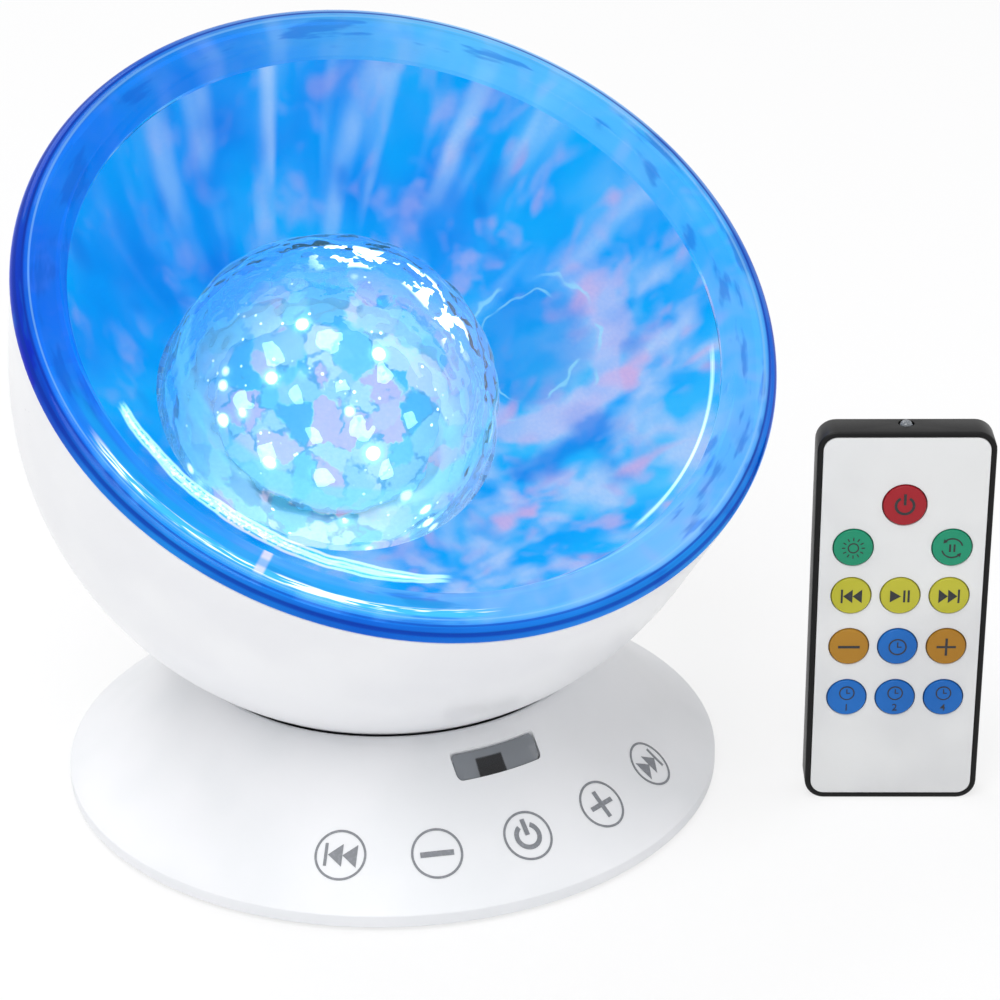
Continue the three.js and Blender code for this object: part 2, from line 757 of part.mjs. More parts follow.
function buildMotor() {
  const top = chassisUnder - fitGap;
  const can = rod(motorRadius, top - motorLength, top, facets.medium);
  const span = motorRadius + motorEar;
  const earShape = roundedRectangle(motorEar, 2 * span, motorEar * motorEarRoundShare);
  const ears = plate(earShape, motorEarThickness, 3);
  ears.translate(0, 0, top - motorEarThickness);
  const shaftBore = rod(motorShaftRadius + fitGap, top - motorLength / 2, top + cutOverrun, facets.small);
  const holes = [-1, 1].map((side) => {
    const hole = rod(screwClearance, top - motorLength, top + cutOverrun, facets.screw);
    return hole.translate(0, side * (motorRadius + motorEar / 2), 0);
  });
  return cut(join(can, ears), shaftBore, ...holes).translate(motorX, motorY, 0);
}

function buildPinion() {
  const blank = plate(gearShape(pinionTeeth), gearWidth);
  blank.rotateZ(Math.PI + Math.PI / pinionTeeth).translate(0, 0, gearUnder);
  const shaftEnd = chassisUnder - motorLength / 2;
  const shaft = rod(motorShaftRadius, shaftEnd, gearUnder + gearWidth / 2, facets.small);
  return join(blank, shaft).translate(motorX, motorY, 0);
}

// Tilt clamp, about the bolt's own axis
function buildTiltBolt() {
  const headSphere = bowlInner - boltHeadGap;
  const headLow = -headSphere;
  const headHigh = headLow + boltHeadThickness;
  const outline = [
    [boltBore, -boltLow],
    [boltRadius, -boltLow],
    [boltRadius, headLow],
    ...hollowArc(headSphere, 0, boltRadius, boltHeadRadius, 2),
    [boltHeadRadius, headHigh],
    [boltBore, headHigh],
  ];
  return turned(outline, facets.modest);
}

function buildShoe() {
  const hole = boltRadius + fitGap;
  const outline = [
    ...hollowArc(shoeTop, 0, hole, shoeRadius, 2),
    ...hollowArc(shoeLow, 0, hole, shoeRadius, 2).reverse(),
  ];
  return turned(outline, facets.modest);
}

function buildSpringWasher() {
  const hole = boltRadius + fitGap;
  const outline = [
    [hole, -washerTop - springWasherThickness],
    [springWasherRadius, -washerLow],
    [springWasherRadius, -washerLow + springWasherThickness],
    [hole, -washerTop],
  ];
  return turned(outline, facets.modest);
}

function buildNut() {
  const body = rod(nutRadius, -nutLow, -nutTop, 6);
  return cut(body, rod(boltRadius + fitGap, -nutLow - cutOverrun, -nutTop + cutOverrun, facets.modest));
}

// Base shell: rim, sloping top, seat, bosses, window cut and socket bay
function slopeTop(share) {
  const r = baseRadius + (seatRadius + seatLip - baseRadius) * share;
  const rimTop = footHeight + baseRimHeight;
  const z = rimTop + (baseHeight - rimTop) * share - baseHollow * 4 * share * (1 - share);
  return [r, z];
}

const slopeAngle = Math.atan2(baseHeight - footHeight - baseRimHeight, baseRadius - seatRadius - seatLip);

// Height of the shell's outer face at a plan radius.
function slopeHeight(radius) {
  const share = (baseRadius - radius) / (baseRadius - seatRadius - seatLip);
  return slopeTop(share)[1];
}

// Height of the shell's inner face at a plan radius.
function slopeInside(radius) {
  return slopeHeight(radius) - baseWall / Math.cos(slopeAngle);
}

function shellOuter() {
  const rimTop = footHeight + baseRimHeight;
  const steps = 4;
  const slope = Array.from({ length: steps }, (_, i) => slopeTop((i + 1) / steps));
  const rim = corner(baseRadius - baseRimRound, rimTop - baseRimRound / 2, baseRimRound, 0, 2).slice(0, 2);
  return [[baseRadius, footHeight], ...rim, ...slope];
}

function buildBaseShell() {
  const boltHole = boltRadius + runGap;
  const ringOuter = seatRadius - seatRingInset;
  const ringInner = ringOuter - seatRingWidth;
  const grooveSphere = seatSphere + seatRingDepth;
  const seat = [
    ...hollowArc(seatSphere, headCentreZ, ringOuter, seatRadius, 1).reverse(),
    ...hollowArc(grooveSphere, headCentreZ, ringInner, ringOuter, 1).reverse(),
    ...hollowArc(seatSphere, headCentreZ, 0, ringInner, 3).reverse(),
  ];
  const under = hollowArc(dishUnder, headCentreZ, 0, seatRadius - baseWall / 2, 3);
  const innerTop = seatRadius + seatLip;
  const innerFoot = baseRadius - baseWall;
  const inside = [0, 0.5, 1].map((share) => {
    const r = innerTop + (innerFoot - innerTop) * share;
    return [r, Math.max(slopeInside(r), plateTop + fitGap)];
  });
  const outline = [...shellOuter(), ...seat, ...under, ...inside, [innerFoot, footHeight]];
  const shell = turned(outline, facets.large);
  const whole = turned([...shellOuter(), [0, baseHeight], [0, footHeight]], facets.large);
  const bossAngles = screwAngles();
  const bosses = bossAngles.map((degrees) => {
    const [x, y] = around(fixingRadius, degrees);
    const boss = rod(bossRadius, plateTop + fitGap, baseHeight, facets.screw).translate(x, y, 0);
    return common(boss, whole);
  });
  const pilots = bossAngles.map((degrees) => {
    const [x, y] = around(fixingRadius, degrees);
    return rod(screwPilot, plateTop - cutOverrun, plateTop + screwLength, facets.screw).translate(x, y, 0);
  });
  const bayOuterHeight = bayHeight + 2 * bayWall;
  const bayDepth = baseRadius - bayFace + bayWall;
  const bayBlock = block(2 * (bayHalfWidth + bayWall), bayDepth, bayOuterHeight);
  bayBlock.translate(0, bayFace - bayWall + bayDepth / 2, plateTop + fitGap + bayOuterHeight / 2);
  const niche = block(2 * bayHalfWidth, baseRadius, bayHeight);
  niche.translate(0, bayFace + baseRadius / 2, plateTop + bayWall + bayHeight / 2);
  const socketHoles = [
    roundHole(powerCollar + fitGap, -socketPlace),
    roundHole(audioCollar + fitGap, socketPlace),
  ];
  const slot = sphericalSlot(boltHole, seatSphere - cutOverrun, dishUnder + cutOverrun, boltAngle);
  slot.translate(0, 0, headCentreZ);
  const joined = join(shell, ...bosses, common(bayBlock, whole));
  slot.rotateZ(-radians(baseTurnDegrees));
  return cut(joined, ...pilots, niche, ...socketHoles, slot, windowCutter(0));
}

function screwAngles() {
  return Array.from({ length: footCount }, (_, i) => ((i + 0.5) * 360) / footCount);
}

function footAngles() {
  return Array.from({ length: footCount }, (_, i) => (i * 360) / footCount);
}

// Height of the socket centres above the surface
const socketZ = plateTop + bayWall + bayHeight / 2;

function roundHole(radius, x) {
  const hole = rod(radius, -bayWall - cutOverrun, cutOverrun, facets.small);
  return hole.rotateX(-Math.PI / 2).translate(x, bayFace, socketZ);
}

// A prism over the infrared window's outline, grown or shrunk all round
function windowCutter(grow) {
  const near = windowNear - grow;
  const far = windowFar + grow;
  const halfWidth = windowHalfWidth + grow;
  const front = -Math.PI / 2;
  const shape = new THREE.Shape();
  const nearHalf = Math.asin(halfWidth / near);
  const farHalf = Math.asin(halfWidth / far);
  shape.absarc(0, 0, far, front - farHalf, front + farHalf, false);
  shape.absarc(0, 0, near, front + nearHalf, front - nearHalf, true);
  return plate(shape, baseHeight, 4).translate(0, 0, plateTop);
}

function buildWindow() {
  const flangeTop = baseWall + fitGap;
  const flangeLow = flangeTop + windowThickness;
  const plug = common(slopeBand(windowSink, flangeLow), windowCutter(-fitGap));
  const flange = common(slopeBand(flangeTop, flangeLow), windowCutter(windowFlange));
  return join(plug, flange);
}

// A conical layer that follows the shell's slope, between two depths below its face
function slopeBand(fromDepth, toDepth) {
  const reach = (windowFar - windowNear) / 2;
  const near = windowNear - reach;
  const far = windowFar + reach;
  const drop = (depth) => depth / Math.cos(slopeAngle);
  const outline = [
    [near, slopeHeight(near) - drop(fromDepth)],
    [far, slopeHeight(far) - drop(fromDepth)],
    [far, slopeHeight(far) - drop(toDepth)],
    [near, slopeHeight(near) - drop(toDepth)],
  ];
  return turned(outline, facets.large);
}

function buildSeatRing() {
  const ringOuter = seatRadius - seatRingInset - fitGap / 2;
  const ringInner = ringOuter - seatRingWidth + fitGap;
  const low = seatSphere + seatRingDepth - fitGap;
  const high = bowlRadius + fitGap;
  const outline = [
    ...hollowArc(high, headCentreZ, ringInner, ringOuter, 1),
    ...hollowArc(low, headCentreZ, ringInner, ringOuter, 1).reverse(),
  ];
  return turned(outline, facets.large);
}

// Bottom plate: grille, foot recesses, screw seats, speaker ring and board standoffs
function buildBottomPlate() {
  const disc = rod(baseRadius - baseWall - fitGap, footHeight, plateTop, facets.large);
  const recesses = footAngles().map((degrees) => {
    const [x, y] = around(fixingRadius, degrees);
    const recess = rod(footRadius + fitGap, footHeight - cutOverrun, footHeight + footRecess, facets.small);
    return recess.translate(x, y, 0);
  });
  const holes = screwAngles().map((degrees) => {
    const [x, y] = around(fixingRadius, degrees);
    const shank = rod(screwClearance, footHeight - cutOverrun, plateTop + cutOverrun, facets.screw);
    const headHole = screwHeadRadius + fitGap;
    const seat = rod(headHole, footHeight - cutOverrun, footHeight + screwHeadHeight, facets.screw);
    return join(shank, seat).translate(x, y, 0);
  });
  const ring = tube(
    speakerRadius + fitGap + speakerRing,
    speakerRadius + fitGap,
    plateTop - plateThickness / 2,
    plateTop + speakerRingHeight,
    facets.medium,
  ).translate(-speakerPlace, 0, 0);
  const standoffLow = plateTop - plateThickness / 2;
  const standoffs = standoffPlaces().map(([x, y]) => {
    const standoff = rod(standoffRadius, standoffLow, plateTop + boardLift - fitGap, facets.screw);
    return standoff.translate(x, y, 0);
  });
  return cut(join(disc, ring, ...standoffs), ...recesses, ...holes, ...grille());
}

function standoffPlaces() {
  const inner = boardInner + 2 * standoffRadius;
  return [-boardHalfDegrees / 2, boardHalfDegrees / 2].map((degrees) => around(inner, degrees - 90));
}

function grille() {
  const pitch = (2 * speakerMagnetRadius) / (grilleSlots - 1);
  return Array.from({ length: grilleSlots }, (_, i) => {
    const offset = (i - (grilleSlots - 1) / 2) * pitch;
    const reach = Math.sqrt((speakerRadius - speakerRing) ** 2 - offset ** 2);
    const round = grilleSlot * slotRoundShare;
    const slot = plate(roundedRectangle(grilleSlot, 2 * reach, round), plateThickness + 2 * cutOverrun, 1);
    return slot.translate(offset - speakerPlace, 0, footHeight - cutOverrun);
  });
}

function buildFoot() {
  const top = footHeight + footRecess - fitGap;
  const outline = [
    [0, 0],
    [footRadius - footHeight / 2, 0],
    [footRadius, footHeight / 2],
    [footRadius, top],
    [0, top],
  ];
  return turned(outline, facets.small);
}

function buildMainBoard() {
  const low = plateTop + boardLift;
  const half = radians(boardHalfDegrees);
  const shape = new THREE.Shape();
  const front = -Math.PI / 2;
  shape.absarc(0, 0, boardOuter, front - half, front + half, false);
  shape.absarc(0, 0, boardInner, front + half, front - half, true);
  const board = plate(shape, boardThickness, 8).translate(0, 0, low);
  const chip = block(chipSize, chipSize, chipHeight + boardThickness);
  chip.translate(-chipSize, -(boardInner + boardOuter) / 2, low + (chipHeight + boardThickness) / 2);
  const connector = block(chipSize, chipSize / 2, 2 * chipHeight + boardThickness);
  connector.translate(chipSize, -(boardInner + chipSize), low + chipHeight + boardThickness / 2);
  return join(board, chip, connector);
}

// Touch spring: a coil standing on the board, with a slanted pad under the shell
function buildTouchSpring() {
  const low = plateTop + boardLift + boardThickness + fitGap;
  const padMiddle = slopeInside(touchRadius) - runGap / Math.cos(slopeAngle) - springPadThickness;
  const high = padMiddle - springWire;
  const start = low + springWire / 2;
  const rise = high - start;
  const steps = springTurns * facets.coil;
  const centres = Array.from({ length: steps + 1 }, (_, i) => {
    const angle = (i / facets.coil) * Math.PI * 2;
    const x = springCoilRadius * Math.cos(angle);
    const y = springCoilRadius * Math.sin(angle);
    return new THREE.Vector3(x, y, start + (rise * i) / steps);
  });
  const core = new THREE.Vector3(0, 0, padMiddle);
  const path = new THREE.CatmullRomCurve3([...centres, core]);
  const wireSides = Array.from({ length: facets.wire }, (_, i) => {
    const angle = (i / facets.wire) * Math.PI * 2;
    return new THREE.Vector2(Math.cos(angle), Math.sin(angle)).multiplyScalar(springWire / 2);
  });
  const coil = new THREE.ExtrudeGeometry(new THREE.Shape(wireSides), { steps: steps + 1, extrudePath: path });
  const pad = rod(springPadRadius, -springPadThickness / 2, springPadThickness / 2, facets.screw);
  pad.rotateX(slopeAngle).translate(0, 0, padMiddle);
  return join(coil, pad);
}

function buildReceiver() {
  const behindWindow = (windowThickness + 2 * fitGap) / Math.cos(slopeAngle);
  const top = slopeInside(receiverPlace + receiverDepth / 2) - behindWindow;
  const low = top - receiverHeight;
  const boardTop = plateTop + boardLift + boardThickness + fitGap;
  const body = block(receiverWidth, receiverDepth, receiverHeight).translate(0, 0, low + receiverHeight / 2);
  const lens = new THREE.SphereGeometry(receiverLens, facets.screw, 6);
  lens.translate(0, -receiverDepth / 2, low + receiverHeight / 2);
  const legs = [-1, 0, 1].map((side) => {
    const leg = block(receiverLeg, receiverLeg, low - boardTop + receiverLeg);
    return leg.translate(side * receiverLegPitch, 0, (low + boardTop + receiverLeg) / 2);
  });
  return join(body, lens, ...legs).translate(0, -receiverPlace, 0);
}

// Speaker, facing down through the grille
function buildSpeakerBasket() {
  const low = plateTop + fitGap;
  const high = low + speakerHeight;
  const magnetLow = high - speakerHeight / 2;
  const outline = [
    [speakerRadius - speakerFlange, low],
    [speakerRadius, low],
    [speakerRadius, low + speakerFlange],
    [speakerMagnetRadius, magnetLow],
    [speakerMagnetRadius, high],
    [0, high],
    [0, magnetLow],
    [speakerMagnetRadius - speakerFlange, magnetLow],
    [speakerRadius - 2 * speakerFlange, low + speakerFlange],
  ];
  return turned(outline, facets.modest).translate(-speakerPlace, 0, 0);
}

function buildSpeakerCone() {
  const low = plateTop + fitGap;
  const outer = speakerRadius - 2 * speakerFlange - fitGap;
  const inner = speakerMagnetRadius - speakerFlange - 2 * fitGap;
  const deep = low + speakerHeight / 2 - speakerFlange;
  const skin = speakerFlange / 2;
  const outline = [
    [0, deep - skin],
    [inner / 2, deep - skin],
    [outer - 2 * speakerFlange, low + fitGap],
    [outer, low],
    [outer, low + skin],
    [outer - 2 * speakerFlange, low + fitGap + skin],
    [inner / 2, deep],
    [0, deep],
  ];
  return turned(outline, facets.modest).translate(-speakerPlace, 0, 0);
}

// Sockets, each behind the bay's wall with its mouth through it
function buildPowerSocket() {
  const back = bayFace - bayWall - fitGap;
  const body = block(powerSocketWidth, socketDepth, powerSocketHeight);
  body.translate(0, back - socketDepth / 2, socketZ);
  const collar = alongY(rod(powerCollar, -socketDepth / 2, bayWall + fitGap, facets.small), back);
  const boreDepth = socketDepth * socketBoreShare;
  const bore = alongY(rod(powerSocketBore, -boreDepth, bayWall + cutOverrun, facets.small), back);
  const pin = alongY(rod(powerPin, -socketDepth * socketPinShare, 0, facets.screw), back);
  return join(cut(join(body, collar), bore), pin).translate(-socketPlace, 0, 0);
}

function buildAudioSocket() {
  const back = bayFace - bayWall - fitGap;
  const body = block(audioSocketWidth, socketDepth, audioSocketHeight);
  body.translate(0, back - socketDepth / 2, socketZ);
  const collar = alongY(rod(audioCollar, -socketDepth / 2, bayWall + fitGap, facets.small), back);
  const boreDepth = socketDepth * socketBoreShare;
  const bore = alongY(rod(audioSocketBore, -boreDepth, bayWall + cutOverrun, facets.small), back);
  return cut(join(body, collar), bore).translate(socketPlace, 0, 0);
}

// A rod about Z laid along Y with its zero at a given Y, at the sockets' height
function alongY(geometry, y) {
  return geometry.rotateX(-Math.PI / 2).translate(0, y, socketZ);
}

function buildSocketBoard() {
  const top = socketZ - powerSocketHeight / 2 - fitGap;
  const width = 2 * (socketPlace + powerSocketWidth / 2 + boardEdge);
  const board = block(width, socketDepth, boardThickness);
  const y = bayFace - bayWall - fitGap - socketDepth / 2;
  return board.translate(0, y, top - boardThickness / 2);
}

// Remote, in its own frame: x to the right, y to the back, z up from its lower end
const keyPitchX = 2 * keyRadius + keyGapX;
const remoteWidth = 2 * (keyPitchX + keyRadius + remoteSideMargin);
const keyDepth = facePlate + fitGap + keyFlangeThickness + keyStem;
const trayDepth = cellFrontGap + cellThickness + fitGap / 2 + trayFloor;
const boardDepth = keyTravel + fitGap + remoteBoardThickness + fitGap;
const remoteThickness = keyDepth + boardDepth + trayDepth + fitGap + remoteBack;
const frontY = -remoteThickness / 2;
const backY = remoteThickness / 2;
const keyBottomY = frontY + keyDepth;
const remoteBoardY = keyBottomY + keyTravel + fitGap;
const trayFrontY = remoteBoardY + remoteBoardThickness + fitGap;
const trayBackY = backY - remoteBack - fitGap;
const trayHalfWidth = cellRadius + fitGap + trayWall;
const trayLength = 2 * cellRadius + fitGap + 2 * trayWall + trayGripHeight;

// A rounded plate standing in the XZ plane, from one depth to another
function standing(width, height, round, fromY, toY, lift = 0) {
  const geometry = plate(roundedRectangle(width, height, round), toY - fromY, 2);
  return geometry.rotateX(Math.PI / 2).translate(0, toY, lift + height / 2);
}

function buildRemoteCase() {
  const body = standing(remoteWidth, remoteHeight, remoteCorner, frontY, backY);
  const inset = remoteCorner - remoteRim;
  const pocket = standing(
    remoteWidth - 2 * remoteRim,
    remoteHeight - 2 * remoteRim,
    inset,
    frontY - cutOverrun,
    frontY + facePlate + fitGap,
    remoteRim,
  );
  const wall = remoteRim + remoteSideWall;
  const cavity = standing(
    remoteWidth - 2 * wall,
    remoteHeight - 2 * wall,
    inset - remoteSideWall / 2,
    frontY,
    backY - remoteBack,
    wall,
  );
  const trayMouth = block(
    2 * (trayHalfWidth + fitGap),
    trayBackY - trayFrontY + 2 * fitGap,
    2 * wall + cutOverrun,
  );
  trayMouth.translate(0, (trayBackY + trayFrontY) / 2, 0);
  const holeLow = remoteHeight - wall - cutOverrun;
  const emitterHole = rod(emitterRadius + fitGap, holeLow, remoteHeight + cutOverrun, facets.screw);
  return cut(body, pocket, cavity, trayMouth, emitterHole.translate(0, emitterY(), 0));
}

function emitterY() {
  return (remoteBoardY + remoteBoardThickness + fitGap + backY - remoteBack) / 2;
}

function keyList() {
  const [power, upper, play, level, timer] = keyRowDrops;
  const { keyRed, keyGreen, keyYellow, keyOrange, keyBlue } = finishes;
  const spec = (name, column, drop, colour, radius = keyRadius) => ({ name, column, drop, colour, radius });
  return [
    spec("key_power", 0, power, keyRed, powerKeyRadius),
    spec("key_light_mode", -1, upper, keyGreen),
    spec("key_turn_mode", 1, upper, keyGreen),
    spec("key_back", -1, play, keyYellow),
    spec("key_play", 0, play, keyYellow),
    spec("key_forward", 1, play, keyYellow),
    spec("key_quieter", -1, level, keyOrange),
    spec("key_timer_off", 0, level, keyBlue),
    spec("key_louder", 1, level, keyOrange),
    spec("key_timer_1", -1, timer, keyBlue),
    spec("key_timer_2", 0, timer, keyBlue),
    spec("key_timer_4", 1, timer, keyBlue),
  ];
}

function buildRemoteFace() {
  const clear = remoteRim + fitGap / 2;
  const face = standing(
    remoteWidth - 2 * clear,
    remoteHeight - 2 * clear,
    remoteCorner - clear,
    frontY,
    frontY + facePlate,
    clear,
  );
  const holes = keyList().map(({ column, drop, radius }) => {
    const hole = rod(radius + keySideGap, frontY - cutOverrun, frontY + facePlate + cutOverrun, facets.key);
    return hole.rotateX(-Math.PI / 2).translate(column * keyPitchX, 0, remoteHeight - drop);
  });
  return cut(face, ...holes);
}

function buildKey(radius) {
  const outline = [
    [0, frontY - keyProud],
    [radius * keyTopShare, frontY - keyProud],
    [radius, frontY + facePlate + fitGap],
    [radius + keyFlange, frontY + facePlate + fitGap],
    [radius, keyBottomY],
    [0, keyBottomY],
  ];
  return turned(outline, facets.key).rotateX(-Math.PI / 2);
}

function buildRemoteBoard() {
  const wall = remoteRim + remoteSideWall + fitGap;
  const height = remoteHeight - 2 * wall;
  return standing(
    remoteWidth - 2 * wall,
    height,
    remoteCorner - remoteRim - remoteSideWall / 2,
    remoteBoardY,
    remoteBoardY + remoteBoardThickness,
    wall,
  );
}

function buildBatteryTray() {
  const depth = trayBackY - trayFrontY;
  const body = block(2 * trayHalfWidth, depth, trayLength);
  body.translate(0, (trayFrontY + trayBackY) / 2, fitGap + trayLength / 2);
  const cellHole = rod(cellRadius + fitGap, trayFrontY - cutOverrun, trayBackY - trayFloor, facets.medium);
  cellHole.rotateX(-Math.PI / 2).translate(0, 0, cellCentreZ());
  return cut(body, cellHole);
}

function cellCentreZ() {
  return fitGap + trayGripHeight + trayWall + cellRadius + fitGap / 2;
}

function buildCoinCell() {
  const back = trayBackY - trayFloor - fitGap / 2;
  const cell = rod(cellRadius, back - cellThickness, back, facets.medium);
  return cell.rotateX(-Math.PI / 2).translate(0, 0, cellCentreZ());
}

function buildEmitter() {
  const top = remoteHeight + emitterRadius / 2;
  const outline = [
    [0, top - emitterLength],
    [emitterRadius, top - emitterLength],
    [emitterRadius, top - emitterRadius],
    [emitterRadius * emitterShoulderShare, top - emitterRadius * emitterDomeShare],
    [0, top],
  ];
  return turned(outline, facets.screw).translate(0, emitterY(), 0);
}

// Assembly
const waveLight = new THREE.Group();

const base = new THREE.Group();
base.rotation.z = radians(baseTurnDegrees);
base.add(piece("base_shell", buildBaseShell(), finishes.baseWhite));
base.add(piece("bottom_plate", buildBottomPlate(), finishes.innerWhite));
base.add(piece("seat_ring", buildSeatRing(), finishes.rubber));
base.add(piece("ir_window", buildWindow(), finishes.smokeWindow));
base.add(piece("ir_receiver", buildReceiver(), finishes.blackPart));
base.add(piece("main_board", buildMainBoard(), finishes.boardGreen));
base.add(piece("speaker_basket", buildSpeakerBasket(), finishes.steel));
base.add(piece("speaker_cone", buildSpeakerCone(), finishes.blackPart));
base.add(piece("power_socket", buildPowerSocket(), finishes.blackPart));
base.add(piece("audio_socket", buildAudioSocket(), finishes.blackPart));
base.add(piece("socket_board", buildSocketBoard(), finishes.boardGreen));
footAngles().forEach((degrees, i) => {
  const foot = piece(`foot_${i + 1}`, buildFoot(), finishes.rubber);
  foot.position.set(...around(fixingRadius, degrees), 0);
  base.add(foot);
});
screwAngles().forEach((degrees, i) => {
  const geometry = screw(screwHeadRadius, screwHeadHeight - fitGap, screwRadius, screwLength - screwTipGap);
  const fastener = piece(`base_screw_${i + 1}`, geometry.rotateX(Math.PI), finishes.steel);
  fastener.position.set(...around(fixingRadius, degrees), footHeight + screwHeadHeight - fitGap / 2);
  base.add(fastener);
});
for (let i = 0; i < touchCount; i += 1) {
  const turn = (i - (touchCount - 1) / 2) * touchPitchDegrees;
  const holder = new THREE.Group();
  holder.rotation.z = radians(turn);
  const spring = piece(`touch_spring_${i + 1}`, buildTouchSpring(), finishes.steel);
  spring.position.set(0, -touchRadius, 0);
  holder.add(spring);
  base.add(holder);
}
waveLight.add(base);

const head = new THREE.Group();
head.position.set(0, 0, headCentreZ);
head.rotation.x = tilt;
head.add(piece("bowl", buildBowl(), finishes.bowlWhite));
head.add(piece("cover", buildCover(), finishes.blueLens));
head.add(piece("reflector", buildReflector(), finishes.waveReflector));
head.add(piece("chassis", buildChassis(), finishes.innerWhite));
head.add(piece("lamp_board", buildLampBoard(), finishes.ledWhite));
head.add(piece("motor", buildMotor(), finishes.steel));
head.add(piece("drive_pinion", buildPinion(), finishes.nylon));
const rippleDome = piece("ripple_dome", buildRippleDome(), finishes.rippleClear);
rippleDome.position.set(domeShiftX, domeShiftY, domeCentre);
head.add(rippleDome);
postAngles.forEach((degrees, i) => {
  const geometry = screw(screwHeadRadius, screwHeadHeight, screwRadius, screwLength - screwTipGap);
  const fastener = piece(`chassis_screw_${i + 1}`, geometry, finishes.steel);
  fastener.position.set(...around(postPlace, degrees), chassisTop + fitGap);
  head.add(fastener);
});
motorEarPlaces().forEach(([x, y], i) => {
  const length = chassisThickness + motorEarThickness + fitGap;
  const geometry = screw(screwHeadRadius, screwHeadHeight, screwRadius, length);
  const fastener = piece(`motor_screw_${i + 1}`, geometry.rotateX(Math.PI), finishes.steel);
  fastener.position.set(x, y, chassisUnder - fitGap - motorEarThickness - fitGap);
  head.add(fastener);
});
const clamp = new THREE.Group();
clamp.rotation.x = -boltAngle;
clamp.add(piece("tilt_bolt", buildTiltBolt(), finishes.steel));
clamp.add(piece("clamp_shoe", buildShoe(), finishes.nylon));
clamp.add(piece("spring_washer", buildSpringWasher(), finishes.steel));
clamp.add(piece("clamp_nut", buildNut(), finishes.steel));
head.add(clamp);
waveLight.add(head);

const remote = new THREE.Group();
remote.position.set(remotePlaceX, remotePlaceY, 0);
remote.rotation.z = radians(remoteTurnDegrees);
remote.add(piece("remote_case", buildRemoteCase(), finishes.remoteBlack));
remote.add(piece("remote_face", buildRemoteFace(), finishes.remoteSilver));
remote.add(piece("remote_board", buildRemoteBoard(), finishes.boardGreen));
remote.add(piece("battery_tray", buildBatteryTray(), finishes.remoteBlack));
remote.add(piece("coin_cell", buildCoinCell(), finishes.steel));
remote.add(piece("ir_emitter", buildEmitter(), finishes.smokeWindow));
keyList().forEach(({ name, column, drop, colour, radius }) => {
  const key = piece(name, buildKey(radius), colour);
  key.position.set(column * keyPitchX, 0, remoteHeight - drop);
  remote.add(key);
});
waveLight.add(remote);

export default waveLight;
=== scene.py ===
"""Looks of a water wave effect light: a tilting bowl with a lit lens, on a touch base, with its card remote.

Each sub-assembly is modelled in its own frame in millimetres, and its stand carries it into metres at rest.
"""

import logging
import math
from collections.abc import Callable, Sequence
from dataclasses import dataclass
from enum import Enum

import bpy
from mathutils import Matrix, Vector


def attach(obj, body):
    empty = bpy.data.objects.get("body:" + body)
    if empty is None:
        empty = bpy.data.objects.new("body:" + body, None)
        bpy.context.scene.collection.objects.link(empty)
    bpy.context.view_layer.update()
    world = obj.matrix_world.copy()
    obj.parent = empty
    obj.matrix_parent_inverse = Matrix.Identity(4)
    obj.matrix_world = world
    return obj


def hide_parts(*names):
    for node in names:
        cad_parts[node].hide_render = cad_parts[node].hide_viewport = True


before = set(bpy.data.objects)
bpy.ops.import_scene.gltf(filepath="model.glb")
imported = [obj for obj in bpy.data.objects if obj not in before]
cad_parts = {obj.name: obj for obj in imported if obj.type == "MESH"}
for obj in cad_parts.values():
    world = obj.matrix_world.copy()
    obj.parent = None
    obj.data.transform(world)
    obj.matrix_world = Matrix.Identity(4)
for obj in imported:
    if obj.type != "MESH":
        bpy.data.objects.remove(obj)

log = logging.getLogger("wave_light")

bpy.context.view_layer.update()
MILLIMETRES = 1000.0
Colour = tuple[float, float, float, float]
Outline = list[tuple[float, float]]


# Modelling with Blender's own operators


def clear_selection() -> None:
    """Deselects every object, so that the next operator acts on one piece alone."""
    bpy.ops.object.select_all(action="DESELECT")


def choose(*pieces: bpy.types.Object) -> None:
    """Selects these pieces alone, with the first one active.

    Args:
        pieces: The pieces to select.
    """
    clear_selection()
    for piece in pieces:
        piece.select_set(True)
    bpy.context.view_layer.objects.active = pieces[0]


def named(name: str) -> bpy.types.Object:
    """Names the active object and its data.

    Args:
        name: The new name.

    Returns:
        The active object.
    """
    piece = bpy.context.view_layer.objects.active
    piece.name = name
    piece.data.name = name
    return piece


def apply_place() -> None:
    """Puts the active piece's place, turn and size into its mesh."""
    bpy.ops.object.transform_apply(location=True, rotation=True, scale=True)


def remove(piece: bpy.types.Object) -> None:
    """Deletes a cutter or a form that has been copied."""
    bpy.data.objects.remove(piece, do_unlink=True)


def turned(degrees: float, axis: str) -> Matrix:
    """A turn by an angle in degrees about one axis."""
    return Matrix.Rotation(math.radians(degrees), 4, axis)


def carried(x: float, y: float, z: float) -> Matrix:
    """A move without a turn."""
    return Matrix.Translation((x, y, z))


def edit(piece: bpy.types.Object, mode: str = "VERT") -> None:
    """Opens a piece in edit mode with everything in it selected.

    Args:
        piece: The piece to open.
        mode: What is selected: VERT, EDGE or FACE.
    """
    choose(piece)
    bpy.ops.object.mode_set(mode="EDIT")
    bpy.ops.mesh.select_mode(type=mode)
    bpy.ops.mesh.select_all(action="SELECT")


def edit_selected(piece: bpy.types.Object, mode: str) -> None:
    """Opens a piece in edit mode, keeping what code has selected in it.

    Args:
        piece: The piece to open.
        mode: What is selected: VERT, EDGE or FACE.
    """
    choose(piece)
    bpy.ops.object.mode_set(mode="EDIT")
    bpy.context.tool_settings.mesh_select_mode = (mode == "VERT", mode == "EDGE", mode == "FACE")


def leave_edit() -> None:
    """Goes back to object mode."""
    bpy.ops.object.mode_set(mode="OBJECT")


